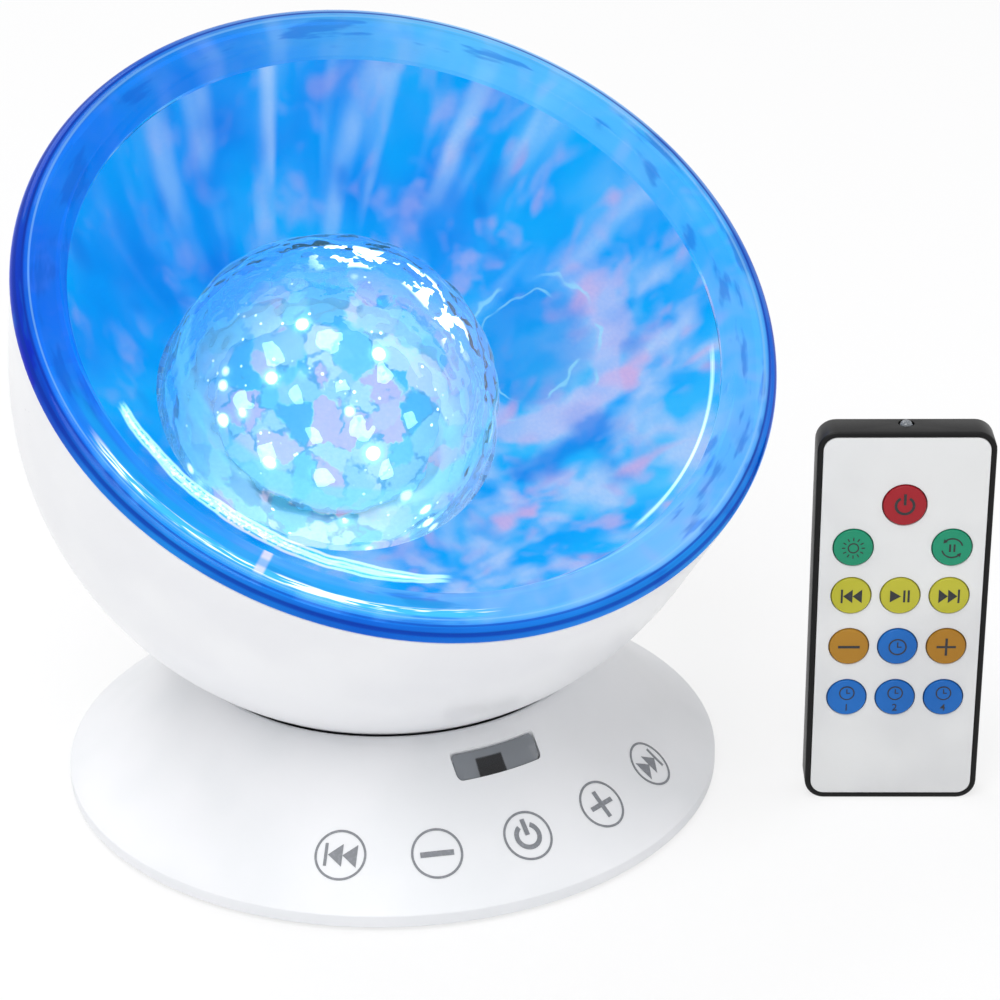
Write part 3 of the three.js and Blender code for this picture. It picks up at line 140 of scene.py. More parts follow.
def edit_nothing(piece: bpy.types.Object, mode: str) -> None:
    """Deselects all of a piece's mesh, so that code can select a part of it.

    Args:
        piece: The piece.
        mode: What will be selected: VERT, EDGE or FACE.
    """
    edit(piece, mode)
    bpy.ops.mesh.select_all(action="DESELECT")
    leave_edit()


def tidy_surface(piece: bpy.types.Object, weld: float = 0.002) -> None:
    """Merges doubles, drops loose bits and points every face outwards.

    Args:
        piece: The piece to tidy, in millimetres.
        weld: Distance within which vertices are merged.
    """
    edit(piece)
    bpy.ops.mesh.remove_doubles(threshold=weld)
    bpy.ops.mesh.delete_loose()
    bpy.ops.mesh.select_all(action="SELECT")
    bpy.ops.mesh.normals_make_consistent(inside=False)
    leave_edit()


def closed(piece: bpy.types.Object) -> bool:
    """Looks for open edges in a piece's surface.

    Args:
        piece: The piece.

    Returns:
        Whether there are none.
    """
    edit(piece, "EDGE")
    bpy.ops.mesh.select_all(action="DESELECT")
    bpy.ops.mesh.select_non_manifold()
    leave_edit()
    return not any(edge.select for edge in piece.data.edges)


def modify(piece: bpy.types.Object, kind: str, **settings: object) -> bpy.types.Object:
    """Adds one modifier to a piece, sets it and applies it.

    Args:
        piece: The piece that gets the modifier.
        kind: Blender's name of the modifier type.
        settings: The modifier's properties.

    Returns:
        The same piece.
    """
    choose(piece)
    modifier = piece.modifiers.new(kind.title(), kind)
    for key, value in settings.items():
        setattr(modifier, key, value)
    bpy.ops.object.modifier_apply(modifier=modifier.name)
    return piece


def softened(piece: bpy.types.Object, width: float, segments: int, angle: float = 50.0) -> bpy.types.Object:
    """Rounds the edges of a piece that are sharper than an angle in degrees."""
    limit = math.radians(angle)
    return modify(piece, "BEVEL", width=width, segments=segments, limit_method="ANGLE", angle_limit=limit)


class Join(Enum):
    """How one solid is combined with another."""

    CUT = "DIFFERENCE"
    ADD = "UNION"
    KEEP = "INTERSECT"


def combine(piece: bpy.types.Object, other: bpy.types.Object, how: Join) -> bpy.types.Object:
    """Combines two solids into the first, and removes the second.

    Args:
        piece: The solid that stays.
        other: The solid that cuts it, adds to it or bounds it.
        how: Which of these it does.

    Returns:
        The solid that stays.
    """
    modify(piece, "BOOLEAN", object=other, operation=how.value, solver="EXACT")
    remove(other)
    return piece


def merge(name: str, pieces: Sequence[bpy.types.Object]) -> bpy.types.Object:
    """Makes one object of several pieces that belong together.

    Args:
        name: The object's name.
        pieces: The pieces, which don't cut each other.

    Returns:
        The joined object.
    """
    choose(*pieces)
    if len(pieces) > 1:
        bpy.ops.object.join()
    return named(name)


def copy_of(piece: bpy.types.Object, name: str) -> bpy.types.Object:
    """Copies a piece with a mesh of its own.

    Args:
        piece: The piece to copy.
        name: The copy's name.

    Returns:
        The copy.
    """
    twin = piece.copy()
    twin.data = piece.data.copy()
    twin.name = name
    twin.data.name = name
    bpy.context.collection.objects.link(twin)
    return twin


def shifted(piece: bpy.types.Object, matrix: Matrix) -> bpy.types.Object:
    """Moves a piece by a matrix and puts the place into its mesh.

    Args:
        piece: The piece to move.
        matrix: Where it goes from where it is.

    Returns:
        The same piece.
    """
    piece.matrix_world = matrix @ piece.matrix_world
    choose(piece)
    apply_place()
    return piece


def traced(name: str, points: Sequence[tuple[float, float, float]]) -> bpy.types.Object:
    """Draws a chain of edges through points, and leaves it open in edit mode, all selected.

    Args:
        name: The new piece's name.
        points: The points in order.

    Returns:
        The chain.
    """
    clear_selection()
    bpy.ops.mesh.primitive_plane_add(size=1.0)
    piece = named(name)
    edit(piece)
    bpy.ops.mesh.merge(type="CENTER")
    bpy.ops.transform.translate(value=points[0])
    for here, there in zip(points, points[1:]):
        step = tuple(b - a for a, b in zip(here, there))
        bpy.ops.mesh.extrude_region_move(TRANSFORM_OT_translate={"value": step})
    bpy.ops.mesh.select_all(action="SELECT")
    return piece


def spun(name: str, outline: Outline, sides: int) -> bpy.types.Object:
    """Turns a closed outline about Z.

    Args:
        name: The new piece's name.
        outline: Pairs of radius and height, in order round the section.
        sides: Steps in the full turn.

    Returns:
        A closed solid of revolution.
    """
    piece = traced(name, [(radius, 0.0, height) for radius, height in [*outline, outline[0]]])
    bpy.ops.mesh.spin(steps=sides, angle=math.tau, center=(0.0, 0.0, 0.0), axis=(0.0, 0.0, 1.0))
    leave_edit()
    tidy_surface(piece)
    return piece


@dataclass(frozen=True)
class Ring:
    """One circle of a loft, in millimetres."""

    radius: float
    height: float
    x: float = 0.0
    y: float = 0.0


def lofted(name: str, rings: Sequence[Ring], sides: int) -> bpy.types.Object:
    """Extrudes one ring after another, and closes the last one onto the first.

    Args:
        name: The new piece's name.
        rings: The rings in order, round the whole section.
        sides: Sides of each ring.

    Returns:
        A closed solid.
    """
    clear_selection()
    first = rings[0]
    bpy.ops.mesh.primitive_circle_add(vertices=sides, radius=first.radius, location=(first.x, first.y, first.height))
    piece = named(name)
    apply_place()
    edit(piece, "EDGE")
    for here, there in zip(rings, [*rings[1:], first]):
        bpy.ops.mesh.extrude_region_move()
        ratio = there.radius / here.radius
        bpy.ops.transform.resize(value=(ratio, ratio, 1.0), center_override=(here.x, here.y, here.height))
        bpy.ops.transform.translate(value=(there.x - here.x, there.y - here.y, there.height - here.height))
    leave_edit()
    tidy_surface(piece)
    return piece


def arc(cx: float, cy: float, radius: float, start: float, end: float, steps: int = 8) -> Outline:
    """Points on a circle, between two angles in degrees."""
    angles = [math.radians(start + (end - start) * i / steps) for i in range(steps + 1)]
    return [(cx + radius * math.cos(a), cy + radius * math.sin(a)) for a in angles]


def cylinder(name: str, radius: float, low: float, high: float, sides: int = 48) -> bpy.types.Object:
    """A rod about Z that serves as a cutter or as the start of a piece.

    Args:
        name: The new piece's name.
        radius: Its radius.
        low: Height of its lower end.
        high: Height of its upper end.
        sides: Its sides.

    Returns:
        The rod.
    """
    clear_selection()
    middle = (0.0, 0.0, (low + high) / 2)
    bpy.ops.mesh.primitive_cylinder_add(vertices=sides, radius=radius, depth=high - low, location=middle)
    piece = named(name)
    apply_place()
    return piece


def box(name: str, low: Vector, high: Vector) -> bpy.types.Object:
    """A block between two corners that serves as a cutter or as the start of a piece.

    Args:
        name: The new piece's name.
        low: Its lowest corner.
        high: Its highest corner.

    Returns:
        The block.
    """
    clear_selection()
    bpy.ops.mesh.primitive_cube_add(size=1.0, location=(Vector(low) + Vector(high)) / 2)
    piece = named(name)
    piece.scale = Vector(high) - Vector(low)
    apply_place()
    return piece


def rounded_slab(name: str, low: Vector, high: Vector, corner: float, edge: float = 0.0,
                 steps: int = 8) -> bpy.types.Object:
    """A plate standing in the XZ plane, with rounded corners and softened face edges.

    Args:
        name: The new piece's name.
        low: Its lowest corner.
        high: Its highest corner.
        corner: Radius of its four corners, seen from the front.
        edge: Rounding of the front and back edges.
        steps: Segments in each corner.

    Returns:
        The plate.
    """
    piece = box(name, low, high)
    edit_nothing(piece, "EDGE")
    for line in piece.data.edges:
        ends = [piece.data.vertices[i].co for i in line.vertices]
        line.select = abs(ends[0].y - ends[1].y) > 0.5 * (high[1] - low[1])
    bpy.ops.object.mode_set(mode="EDIT")
    bpy.ops.mesh.bevel(offset=corner, segments=steps, affect="EDGES")
    leave_edit()
    return softened(piece, edge, 3, 60.0) if edge > 0 else piece


# Shader building


def srgb(code: str) -> Colour:
    """Turns a colour written as six hex digits into Blender's linear values.

    Args:
        code: The colour, such as f4f8f8.

    Returns:
        Red, green, blue and a whole alpha.
    """
    channels = [int(code[i : i + 2], 16) / 255 for i in (0, 2, 4)]
    linear = [c / 12.92 if c <= 0.04045 else ((c + 0.055) / 1.055) ** 2.4 for c in channels]
    return (linear[0], linear[1], linear[2], 1.0)


class Graph:
    """A node tree with short calls that add nodes and join them.

    A value may be a node's output, a number, a vector or a colour, and a colour may be written as six hex digits.
    """

    def __init__(self, tree: bpy.types.NodeTree) -> None:
        """Starts on an empty node tree."""
        self.tree = tree
        tree.nodes.clear()

    def add(self, kind: str, **settings: object) -> bpy.types.Node:
        """Adds a node of one type.

        Args:
            kind: Blender's name of the node type.
            settings: The node's properties.

        Returns:
            The node.
        """
        node = self.tree.nodes.new(kind)
        for key, value in settings.items():
            setattr(node, key, value)
        return node

    def feed(self, socket: bpy.types.NodeSocket, value: object) -> None:
        """Joins an output to a socket, or sets the socket to a constant.

        Args:
            socket: The input to feed.
            value: What feeds it.
        """
        if isinstance(value, bpy.types.NodeSocket):
            self.tree.links.new(value, socket)
        else:
            socket.default_value = srgb(value) if isinstance(value, str) else value

    def join(self, node: bpy.types.Node, values: dict[str, object]) -> bpy.types.Node:
        """Feeds several inputs of a node by name.

        Args:
            node: The node.
            values: What feeds each input.

        Returns:
            The same node.
        """
        for name, value in values.items():
            self.feed(node.inputs[name], value)
        return node

    def arithmetic(self, kind: str, operation: str, values: Sequence[object]) -> bpy.types.Node:
        """Adds a Math or Vector Math node.

        Args:
            kind: Which of the two.
            operation: Blender's name of the operation.
            values: What feeds its inputs, in order.

        Returns:
            The node.
        """
        node = self.add(kind, operation=operation)
        for socket, value in zip(node.inputs, values):
            self.feed(socket, value)
        return node

    def math(self, operation: str, *values: object) -> bpy.types.NodeSocket:
        """Adds a Math node and returns its output."""
        return self.arithmetic("ShaderNodeMath", operation, values).outputs[0]

    def vector(self, operation: str, *values: object) -> bpy.types.NodeSocket:
        """Adds a Vector Math node and returns its vector."""
        return self.arithmetic("ShaderNodeVectorMath", operation, values).outputs[0]

    def plus(self, first: object, second: object) -> bpy.types.NodeSocket:
        """Returns the sum of two values."""
        return self.math("ADD", first, second)

    def minus(self, first: object, second: object) -> bpy.types.NodeSocket:
        """Returns the first value less the second."""
        return self.math("SUBTRACT", first, second)

    def most(self, first: object, second: object) -> bpy.types.NodeSocket:
        """Returns the larger of two values."""
        return self.math("MAXIMUM", first, second)

    def times(self, *values: object) -> bpy.types.NodeSocket:
        """Multiplies several values.

        Args:
            values: The values.

        Returns:
            Their product.
        """
        product = values[0]
        for value in values[1:]:
            product = self.math("MULTIPLY", product, value)
        return product

    def moved(self, vector: object, shift: tuple[float, float, float]) -> bpy.types.NodeSocket:
        """Returns a vector plus a constant shift."""
        return self.vector("ADD", vector, shift)

    def stretched(self, vector: object, factors: tuple[float, float, float]) -> bpy.types.NodeSocket:
        """Returns a vector with each part times its own factor."""
        return self.vector("MULTIPLY", vector, factors)

    def scaled(self, vector: bpy.types.NodeSocket, factor: object) -> bpy.types.NodeSocket:
        """Returns a vector times a value."""
        node = self.arithmetic("ShaderNodeVectorMath", "SCALE", [vector])
        return self.join(node, {"Scale": factor}).outputs[0]

    def mix(self, factor: object, first: object, second: object) -> bpy.types.NodeSocket:
        """Mixes two colours.

        Args:
            factor: Share of the second colour.
            first: The first colour.
            second: The second colour.

        Returns:
            The mixed colour.
        """
        node = self.add("ShaderNodeMix", data_type="RGBA")
        for index, value in ((0, factor), (6, first), (7, second)):
            self.feed(node.inputs[index], value)
        return node.outputs[2]

    def noise(self, vector: object, scale: object, detail: float = 2.0, roughness: float = 0.5,
              distortion: float = 0.0) -> bpy.types.Node:
        """Adds a Noise Texture node.

        Args:
            vector: Where the noise is read.
            scale: Its scale.
            detail: Number of finer layers in it.
            roughness: Weight of the finer layers.
            distortion: How far it is stirred.

        Returns:
            The node.
        """
        return self.join(self.add("ShaderNodeTexNoise"), {
            "Vector": vector,
            "Scale": scale,
            "Detail": detail,
            "Roughness": roughness,
            "Distortion": distortion,
        })

    def cloud(self, place: bpy.types.NodeSocket, scale: float, detail: float = 2.0, roughness: float = 0.5,
              shift: tuple[float, float, float] | None = None) -> bpy.types.NodeSocket:
        """Reads soft noise at a place in millimetres.

        Args:
            place: The place.
            scale: The noise's waves in a millimetre.
            detail: Number of finer layers in it.
            roughness: Weight of the finer layers.
            shift: Which part of the noise is read.

        Returns:
            A value from 0 to 1.
        """
        spot = self.scaled(place, scale)
        if shift is not None:
            spot = self.moved(spot, shift)
        return self.noise(spot, 1.0, detail, roughness).outputs["Fac"]

    def warp(self, place: bpy.types.NodeSocket, scale: float, detail: float, roughness: float) -> bpy.types.NodeSocket:
        """Reads a random step, of about half a millimetre at most, at a place in millimetres."""
        colour = self.noise(self.scaled(place, scale), 1.0, detail, roughness).outputs["Color"]
        return self.vector("SUBTRACT", colour, (0.5, 0.5, 0.5))

    def cells(self, vector: object, scale: float, feature: str, **settings: object) -> bpy.types.Node:
        """Adds a Voronoi Texture node that reads one feature of cells at a vector."""
        node = self.add("ShaderNodeTexVoronoi", feature=feature, **settings)
        return self.join(node, {"Vector": vector, "Scale": scale})

    def drawn(self, cells: bpy.types.Node, channel: int) -> bpy.types.NodeSocket:
        """Returns one of the random numbers that each cell has."""
        parts = self.join(self.add("ShaderNodeSeparateColor"), {"Color": cells.outputs["Color"]})
        return parts.outputs[channel]

    def span(self, value: object, low: object, high: object) -> bpy.types.NodeSocket:
        """Returns where a value stands between two limits, smoothly from 0 to 1."""
        node = self.add("ShaderNodeMapRange", interpolation_type="SMOOTHSTEP")
        return self.join(node, {"Value": value, "From Min": low, "From Max": high}).outputs["Result"]

    def ramp(self, factor: object, stops: Sequence[tuple[float, str]]) -> bpy.types.NodeSocket:
        """Turns a value into a colour.

        Args:
            factor: The value.
            stops: Places from 0 to 1, each with its colour in hex digits.

        Returns:
            The colour.
        """
        node = self.add("ShaderNodeValToRGB")
        elements = node.color_ramp.elements
        while len(elements) < len(stops):
            elements.new(0.5)
        for element, (place, colour) in zip(elements, stops):
            element.position = place
            element.color = srgb(colour)
        self.feed(node.inputs[0], factor)
        return node.outputs[0]

    def near(self, value: object, centre: object, half: float, soft: float) -> bpy.types.NodeSocket:
        """Returns 1 where a value lies within half of a centre, fading out over a soft edge."""
        away = self.math("ABSOLUTE", self.minus(value, centre))
        return self.span(away, half + soft, half)

    def within(self, value: object, low: float, high: float, soft: float) -> bpy.types.NodeSocket:
        """Returns 1 where a value lies between two limits, fading out over a soft edge."""
        return self.near(value, (low + high) / 2, (high - low) / 2, soft)

    def polar(self, place: bpy.types.NodeSocket) -> tuple[bpy.types.NodeSocket, ...]:
        """Takes a place apart about Z.

        Args:
            place: The place.

        Returns:
            Its angle in degrees, its radius, X and Y.
        """
        parts = self.add("ShaderNodeSeparateXYZ")
        self.feed(parts.inputs[0], place)
        x, y = parts.outputs[0], parts.outputs[1]
        angle = self.times(self.math("ARCTAN2", y, x), math.degrees(1.0))
        radius = self.math("SQRT", self.plus(self.times(x, x), self.times(y, y)))
        return angle, radius, x, y

    def seen(self) -> bpy.types.NodeSocket:
        """Returns 1 for rays from the camera, from a gloss or through a clear piece, and 0 for light on the object."""
        rays = self.add("ShaderNodeLightPath").outputs
        return self.most(rays["Is Camera Ray"], self.most(rays["Is Glossy Ray"], rays["Is Transmission Ray"]))

    def group(self, tree: bpy.types.NodeTree, **values: object) -> bpy.types.Node:
        """Places a node group and feeds its inputs by name."""
        return self.join(self.add("ShaderNodeGroup", node_tree=tree), values)


@dataclass(frozen=True)
class Port:
    """One input or output of a node group."""

    name: str
    kind: str = "NodeSocketFloat"
    value: float | None = None


Sockets = dict[str, bpy.types.NodeSocket]


def node_group(name: str, inputs: Sequence[Port], outputs: Sequence[Port],
               fill: Callable[[Graph, Sockets, Sockets], None]) -> bpy.types.NodeTree:
    """Builds a named node group once, and finds it again later.

    Args:
        name: The group's name.
        inputs: Its inputs.
        outputs: Its outputs.
        fill: A function that adds the nodes between the inputs' and the outputs' sockets.

    Returns:
        The group.
    """
    if name in bpy.data.node_groups:
        return bpy.data.node_groups[name]
    tree = bpy.data.node_groups.new(name, "ShaderNodeTree")
    graph = Graph(tree)
    for side, ports in (("INPUT", inputs), ("OUTPUT", outputs)):
        for port in ports:
            socket = tree.interface.new_socket(port.name, in_out=side, socket_type=port.kind)
            if port.value is not None:
                socket.default_value = port.value
    start = graph.add("NodeGroupInput")
    end = graph.add("NodeGroupOutput")
    fill(graph, {s.name: s for s in start.outputs}, {s.name: s for s in end.inputs})
    return tree


VECTOR = "NodeSocketVector"
COLOUR = "NodeSocketColor"


def fill_grain(graph: Graph, given: Sockets, wanted: Sockets) -> None:
    """Joins the nodes of the moulded grain.

    Args:
        graph: The group's tree.
        given: The group's inputs.
        wanted: The group's outputs.
    """
    fine = graph.noise(given["Vector"], given["Scale"], 3.0, 0.6).outputs["Fac"]
    broad = graph.noise(given["Vector"], 60.0, 2.0, 0.5, 0.4).outputs["Fac"]
    graph.feed(wanted["Height"], fine)
    spread = graph.times(graph.minus(broad, 0.5), given["Drift"])
    speckle = graph.times(graph.minus(fine, 0.5), given["Drift"])
    graph.feed(wanted["Roughness"], graph.plus(given["Roughness"], graph.plus(spread, speckle)))


def grain_group() -> bpy.types.NodeTree:
    """Moulded grain: a fine height, and a broad drift of gloss as from handling.

    Returns:
        The group.
    """
    inputs = [Port("Vector", VECTOR), Port("Scale", value=900.0)]
    inputs += [Port("Roughness", value=0.4), Port("Drift", value=0.1)]
    return node_group("Moulded grain", inputs, [Port("Height"), Port("Roughness")], fill_grain)


def fill_shade(graph: Graph, given: Sockets, wanted: Sockets) -> None:
    """Joins the nodes of the uneven colour."""
    slow = graph.noise(given["Vector"], given["Scale"], 2.0, 0.5).outputs["Fac"]
    graph.feed(wanted["Colour"], graph.mix(graph.span(slow, 0.35, 0.65), given["First"], given["Second"]))


def shade_group() -> bpy.types.NodeTree:
    """Uneven colour: two tones of one resin, drifting slowly over a piece."""
    inputs = [Port("Vector", VECTOR), Port("Scale", value=35.0), Port("First", COLOUR), Port("Second", COLOUR)]
    return node_group("Uneven colour", inputs, [Port("Colour", COLOUR)], fill_shade)


OFF_DOME = (5.0, -6.8, 0.0)


def fill_waves(graph: Graph, given: Sockets, wanted: Sockets) -> None:
    """Joins the nodes of the wave light: water, beams, clouds, lilac and pink drifts, and hollows.

    Args:
        graph: The group's tree.
        given: The group's inputs.
        wanted: The group's outputs.
    """
    place = graph.stretched(given["Vector"], (1.0, 1.0, 0.3))
    angle, _, x, y = graph.polar(graph.moved(place, OFF_DOME))
    shift = graph.warp(place, 0.04, 2.0, 0.5)
    bent = graph.vector("ADD", place, graph.scaled(shift, 12.0))
    slant = graph.minus(graph.times(x, 0.0013), graph.times(y, 0.0018))
    tone = graph.plus(graph.cloud(bent, 0.034), graph.plus(slant, given["Lift"]))
    water = graph.ramp(tone, [
        (0.22, "0280e8"), (0.36, "0096f4"), (0.48, "00a4f8"), (0.60, "0eb0fa"), (0.72, "44c0fa"), (0.86, "8cd2f9"),
    ])
    stirred = graph.vector("ADD", place, graph.scaled(shift, 4.0))
    away = graph.stretched(graph.moved(stirred, OFF_DOME), (1.0, 1.0, 0.0))
    ray = graph.scaled(graph.vector("NORMALIZE", away), 7.0)
    streak = graph.noise(graph.vector("ADD", ray, graph.scaled(away, 0.016)), 1.0, 1.0, 0.4).outputs["Fac"]
    length = graph.arithmetic("ShaderNodeVectorMath", "LENGTH", [away]).outputs["Value"]
    upper = graph.near(angle, 56.0, 44.0, 24.0)
    reach = graph.times(graph.span(length, 34.0, 60.0), graph.plus(0.06, graph.times(upper, 0.8)))
    uneven = graph.span(graph.cloud(place, 0.045, shift=(3.0, 5.0, 1.0)), 0.34, 0.58)
    streaked = graph.mix(graph.times(graph.span(streak, 0.46, 0.72), reach, uneven), water, "bedafb")
    low = graph.span(graph.minus(x, graph.times(y, 1.6)), 10.0, 95.0)
    puffs = graph.span(graph.cloud(bent, 0.10, 2.0, 0.45), 0.40, 0.70)
    cloud = graph.times(puffs, graph.plus(0.03, graph.times(low, 0.8)))
    clouded = graph.mix(cloud, streaked, "bcd2f7")
    right = graph.span(graph.minus(x, graph.times(y, 0.55)), -45.0, 75.0)
    drift = graph.span(graph.cloud(bent, 0.12, shift=(7.0, 3.0, 0.0)), 0.52, 0.78)
    tinted = graph.mix(graph.times(drift, graph.plus(0.22, graph.times(right, 0.45))), clouded, "bcb4ec")
    bloom = graph.span(graph.cloud(bent, 0.13, 1.0, shift=(1.0, 8.0, 2.0)), 0.56, 0.80)
    warmed = graph.mix(graph.times(bloom, graph.plus(0.14, graph.times(right, 0.7))), tinted, "d8aede")
    hollow = graph.span(graph.cloud(bent, 0.06, shift=(2.0, 9.0, 4.0)), 0.46, 0.26)
    graph.feed(wanted["Colour"], graph.mix(graph.times(hollow, 0.65), warmed, "0276e2"))


def wave_group() -> bpy.types.NodeTree:
    """Wave light, azure and beamed away from the dome, at a vector in millimetres in the head's own frame."""
    inputs = [Port("Vector", VECTOR), Port("Lift", value=0.0)]
    return node_group("Wave light", inputs, [Port("Colour", COLOUR)], fill_waves)


def object_place(graph: Graph) -> bpy.types.NodeSocket:
    """The piece's own Object coordinates, in metres."""
    return graph.add("ShaderNodeTexCoord").outputs["Object"]


def head_place(graph: Graph) -> bpy.types.NodeSocket:
    """Object coordinates carried into the head's own frame, in millimetres.

    Args:
        graph: The material's tree.

    Returns:
        The place.
    """
    turn = graph.add("ShaderNodeMapping", vector_type="TEXTURE")
    place = graph.scaled(object_place(graph), MILLIMETRES)
    graph.join(turn, {"Vector": place, "Location": HEAD.shift, "Rotation": (math.radians(HEAD.lean), 0.0, 0.0)})
    return turn.outputs[0]


def bumped(graph: Graph, shader: bpy.types.Node, height: object, strength: float, distance: float) -> None:
    """Joins a height to the shader's normal through a Bump node."""
    bump = graph.join(graph.add("ShaderNodeBump"), {"Height": height, "Strength": strength, "Distance": distance})
    graph.feed(shader.inputs["Normal"], bump.outputs[0])


def toned(graph: Graph, shader: bpy.types.Node, first: str, second: str) -> None:
    """Joins two tones of one colour, drifting slowly over the piece."""
    tone = graph.group(shade_group(), Vector=object_place(graph), First=first, Second=second)
    graph.feed(shader.inputs["Base Color"], tone.outputs["Colour"])


def grained(graph: Graph, shader: bpy.types.Node, scale: float, roughness: float, drift: float) -> bpy.types.NodeSocket:
    """Joins moulded grain to a shader's gloss.

    Args:
        graph: The material's tree.
        shader: Its shader.
        scale: The grain's scale.
        roughness: The middle roughness.
        drift: How far the roughness drifts.

    Returns:
        The grain's height.
    """
    values = {"Vector": object_place(graph), "Scale": scale, "Roughness": roughness, "Drift": drift}
    grain = graph.group(grain_group(), **values)
    graph.feed(shader.inputs["Roughness"], grain.outputs["Roughness"])
    return grain.outputs["Height"]


@dataclass(frozen=True)
class Finish:
    """A finish that can be put on any piece: its name, and the fixed model's material slot that it stands for."""

    name: str
    slot: str

    def build(self, graph: Graph, shader: bpy.types.Node) -> None:
        """Adds the finish's own nodes and joins them to the shader."""
        raise NotImplementedError

    def material(self) -> bpy.types.Material:
        """Makes the material once, and finds it again later.

        Returns:
            The material.
        """
        title = f"{self.name} finish"
        if title in bpy.data.materials:
            return bpy.data.materials[title]
        material = bpy.data.materials.new(title)
        material.use_nodes = True
        graph = Graph(material.node_tree)
        shader = graph.add("ShaderNodeBsdfPrincipled")
        output = graph.add("ShaderNodeOutputMaterial")
        graph.feed(output.inputs["Surface"], shader.outputs[0])
        self.build(graph, shader)
        return material


@dataclass(frozen=True)
class Moulded(Finish):
    """A moulded plastic or rubber, with grain in its surface and a slow drift of colour."""

    colour: str
    second: str
    roughness: float = 0.4
    drift: float = 0.08
    grain: float = 1400.0
    relief: float = 0.12
    coat: float = 0.0
    gloss: float = 0.5

    def build(self, graph: Graph, shader: bpy.types.Node) -> None:
        """Joins grain, gloss drift and colour drift.

        Args:
            graph: The material's tree.
            shader: Its shader.
        """
        toned(graph, shader, self.colour, self.second)
        bumped(graph, shader, grained(graph, shader, self.grain, self.roughness, self.drift), self.relief, 0.0001)
        graph.join(shader, {"Specular IOR Level": self.gloss, "Coat Weight": self.coat, "Coat Roughness": 0.05})


@dataclass(frozen=True)
class Metal(Finish):
    """Plated or pressed steel with fine grain and an uneven polish."""

    colour: str = "c3c6ca"
    second: str = "aeb2b7"
    roughness: float = 0.28

    def build(self, graph: Graph, shader: bpy.types.Node) -> None:
        """Joins the grain and the uneven polish.

        Args:
            graph: The material's tree.
            shader: Its shader.
        """
        toned(graph, shader, self.colour, self.second)
        bumped(graph, shader, grained(graph, shader, 2600.0, self.roughness, 0.12), 0.1, 0.00005)
        graph.join(shader, {"Metallic": 1.0})


@dataclass(frozen=True)
class CircuitBoard(Finish):
    """A green board with pale traces under its mask."""

    green: str = "175a38"
    trace: str = "2b8f5b"

    def build(self, graph: Graph, shader: bpy.types.Node) -> None:
        """Joins the traces' colour and their slight height.

        Args:
            graph: The material's tree.
            shader: Its shader.
        """
        cells = graph.cells(object_place(graph), 420.0, "DISTANCE_TO_EDGE", distance="MANHATTAN")
        trace = graph.span(cells.outputs["Distance"], 0.10, 0.06)
        bumped(graph, shader, trace, 0.4, 0.00004)
        graph.join(shader, {"Base Color": graph.mix(trace, self.green, self.trace), "Roughness": 0.35})


@dataclass(frozen=True)
class Print(Finish):
    """Screen-printed ink, slightly uneven."""

    colour: str

    def build(self, graph: Graph, shader: bpy.types.Node) -> None:
        """Joins the ink's uneven tone.

        Args:
            graph: The material's tree.
            shader: Its shader.
        """
        patchy = graph.noise(object_place(graph), 1500.0).outputs["Fac"]
        ink = srgb(self.colour)
        worn = (*(min(1.0, c * 1.25 + 0.01) for c in ink[:3]), 1.0)
        graph.join(shader, {"Base Color": graph.mix(graph.span(patchy, 0.45, 0.75), ink, worn), "Roughness": 0.5})


@dataclass(frozen=True)
class SmokedClear(Finish):
    """Clear plastic tinted grey, as over an infrared receiver or emitter."""

    colour: str
    second: str = "b2b8c0"
    roughness: float = 0.08

    def build(self, graph: Graph, shader: bpy.types.Node) -> None:
        """Joins faint flow marks to the gloss of a see-through resin.

        Args:
            graph: The material's tree.
            shader: Its shader.
        """
        toned(graph, shader, self.colour, self.second)
        bumped(graph, shader, grained(graph, shader, 500.0, self.roughness, 0.06), 0.05, 0.0001)
        graph.join(shader, {"Transmission Weight": 0.6, "IOR": 1.4})


@dataclass(frozen=True)
class ReceiverWindow(SmokedClear):
    """The base's smoked window, with the receiver's dark block painted into its colour over its nearer half: painted
    shade for the dim shape behind it.
    """

    middle: float = -89.6
    half_angle: float = 3.3
    low: float = 47.9
    high: float = 50.4
    # Colour of the painted shade where the receiver lies behind the window.
    block: str = "24262c"

    def build(self, graph: Graph, shader: bpy.types.Node) -> None:
        """Paints the receiver's dark block into the smoked resin's colour, as painted shade.

        Args:
            graph: The material's tree.
            shader: Its shader.
        """
        super().build(graph, shader)
        # Painted shade: a dark block over the nearer half of the window, where the receiver lies behind it.
        angle, radius, _, _ = graph.polar(graph.scaled(object_place(graph), MILLIMETRES))
        across = graph.near(angle, self.middle, self.half_angle, 0.5)
        block = graph.times(across, graph.within(radius, self.low, self.high, 0.3))
        smoke = shader.inputs["Base Color"].links[0].from_socket
        graph.feed(shader.inputs["Base Color"], graph.mix(block, smoke, self.block))


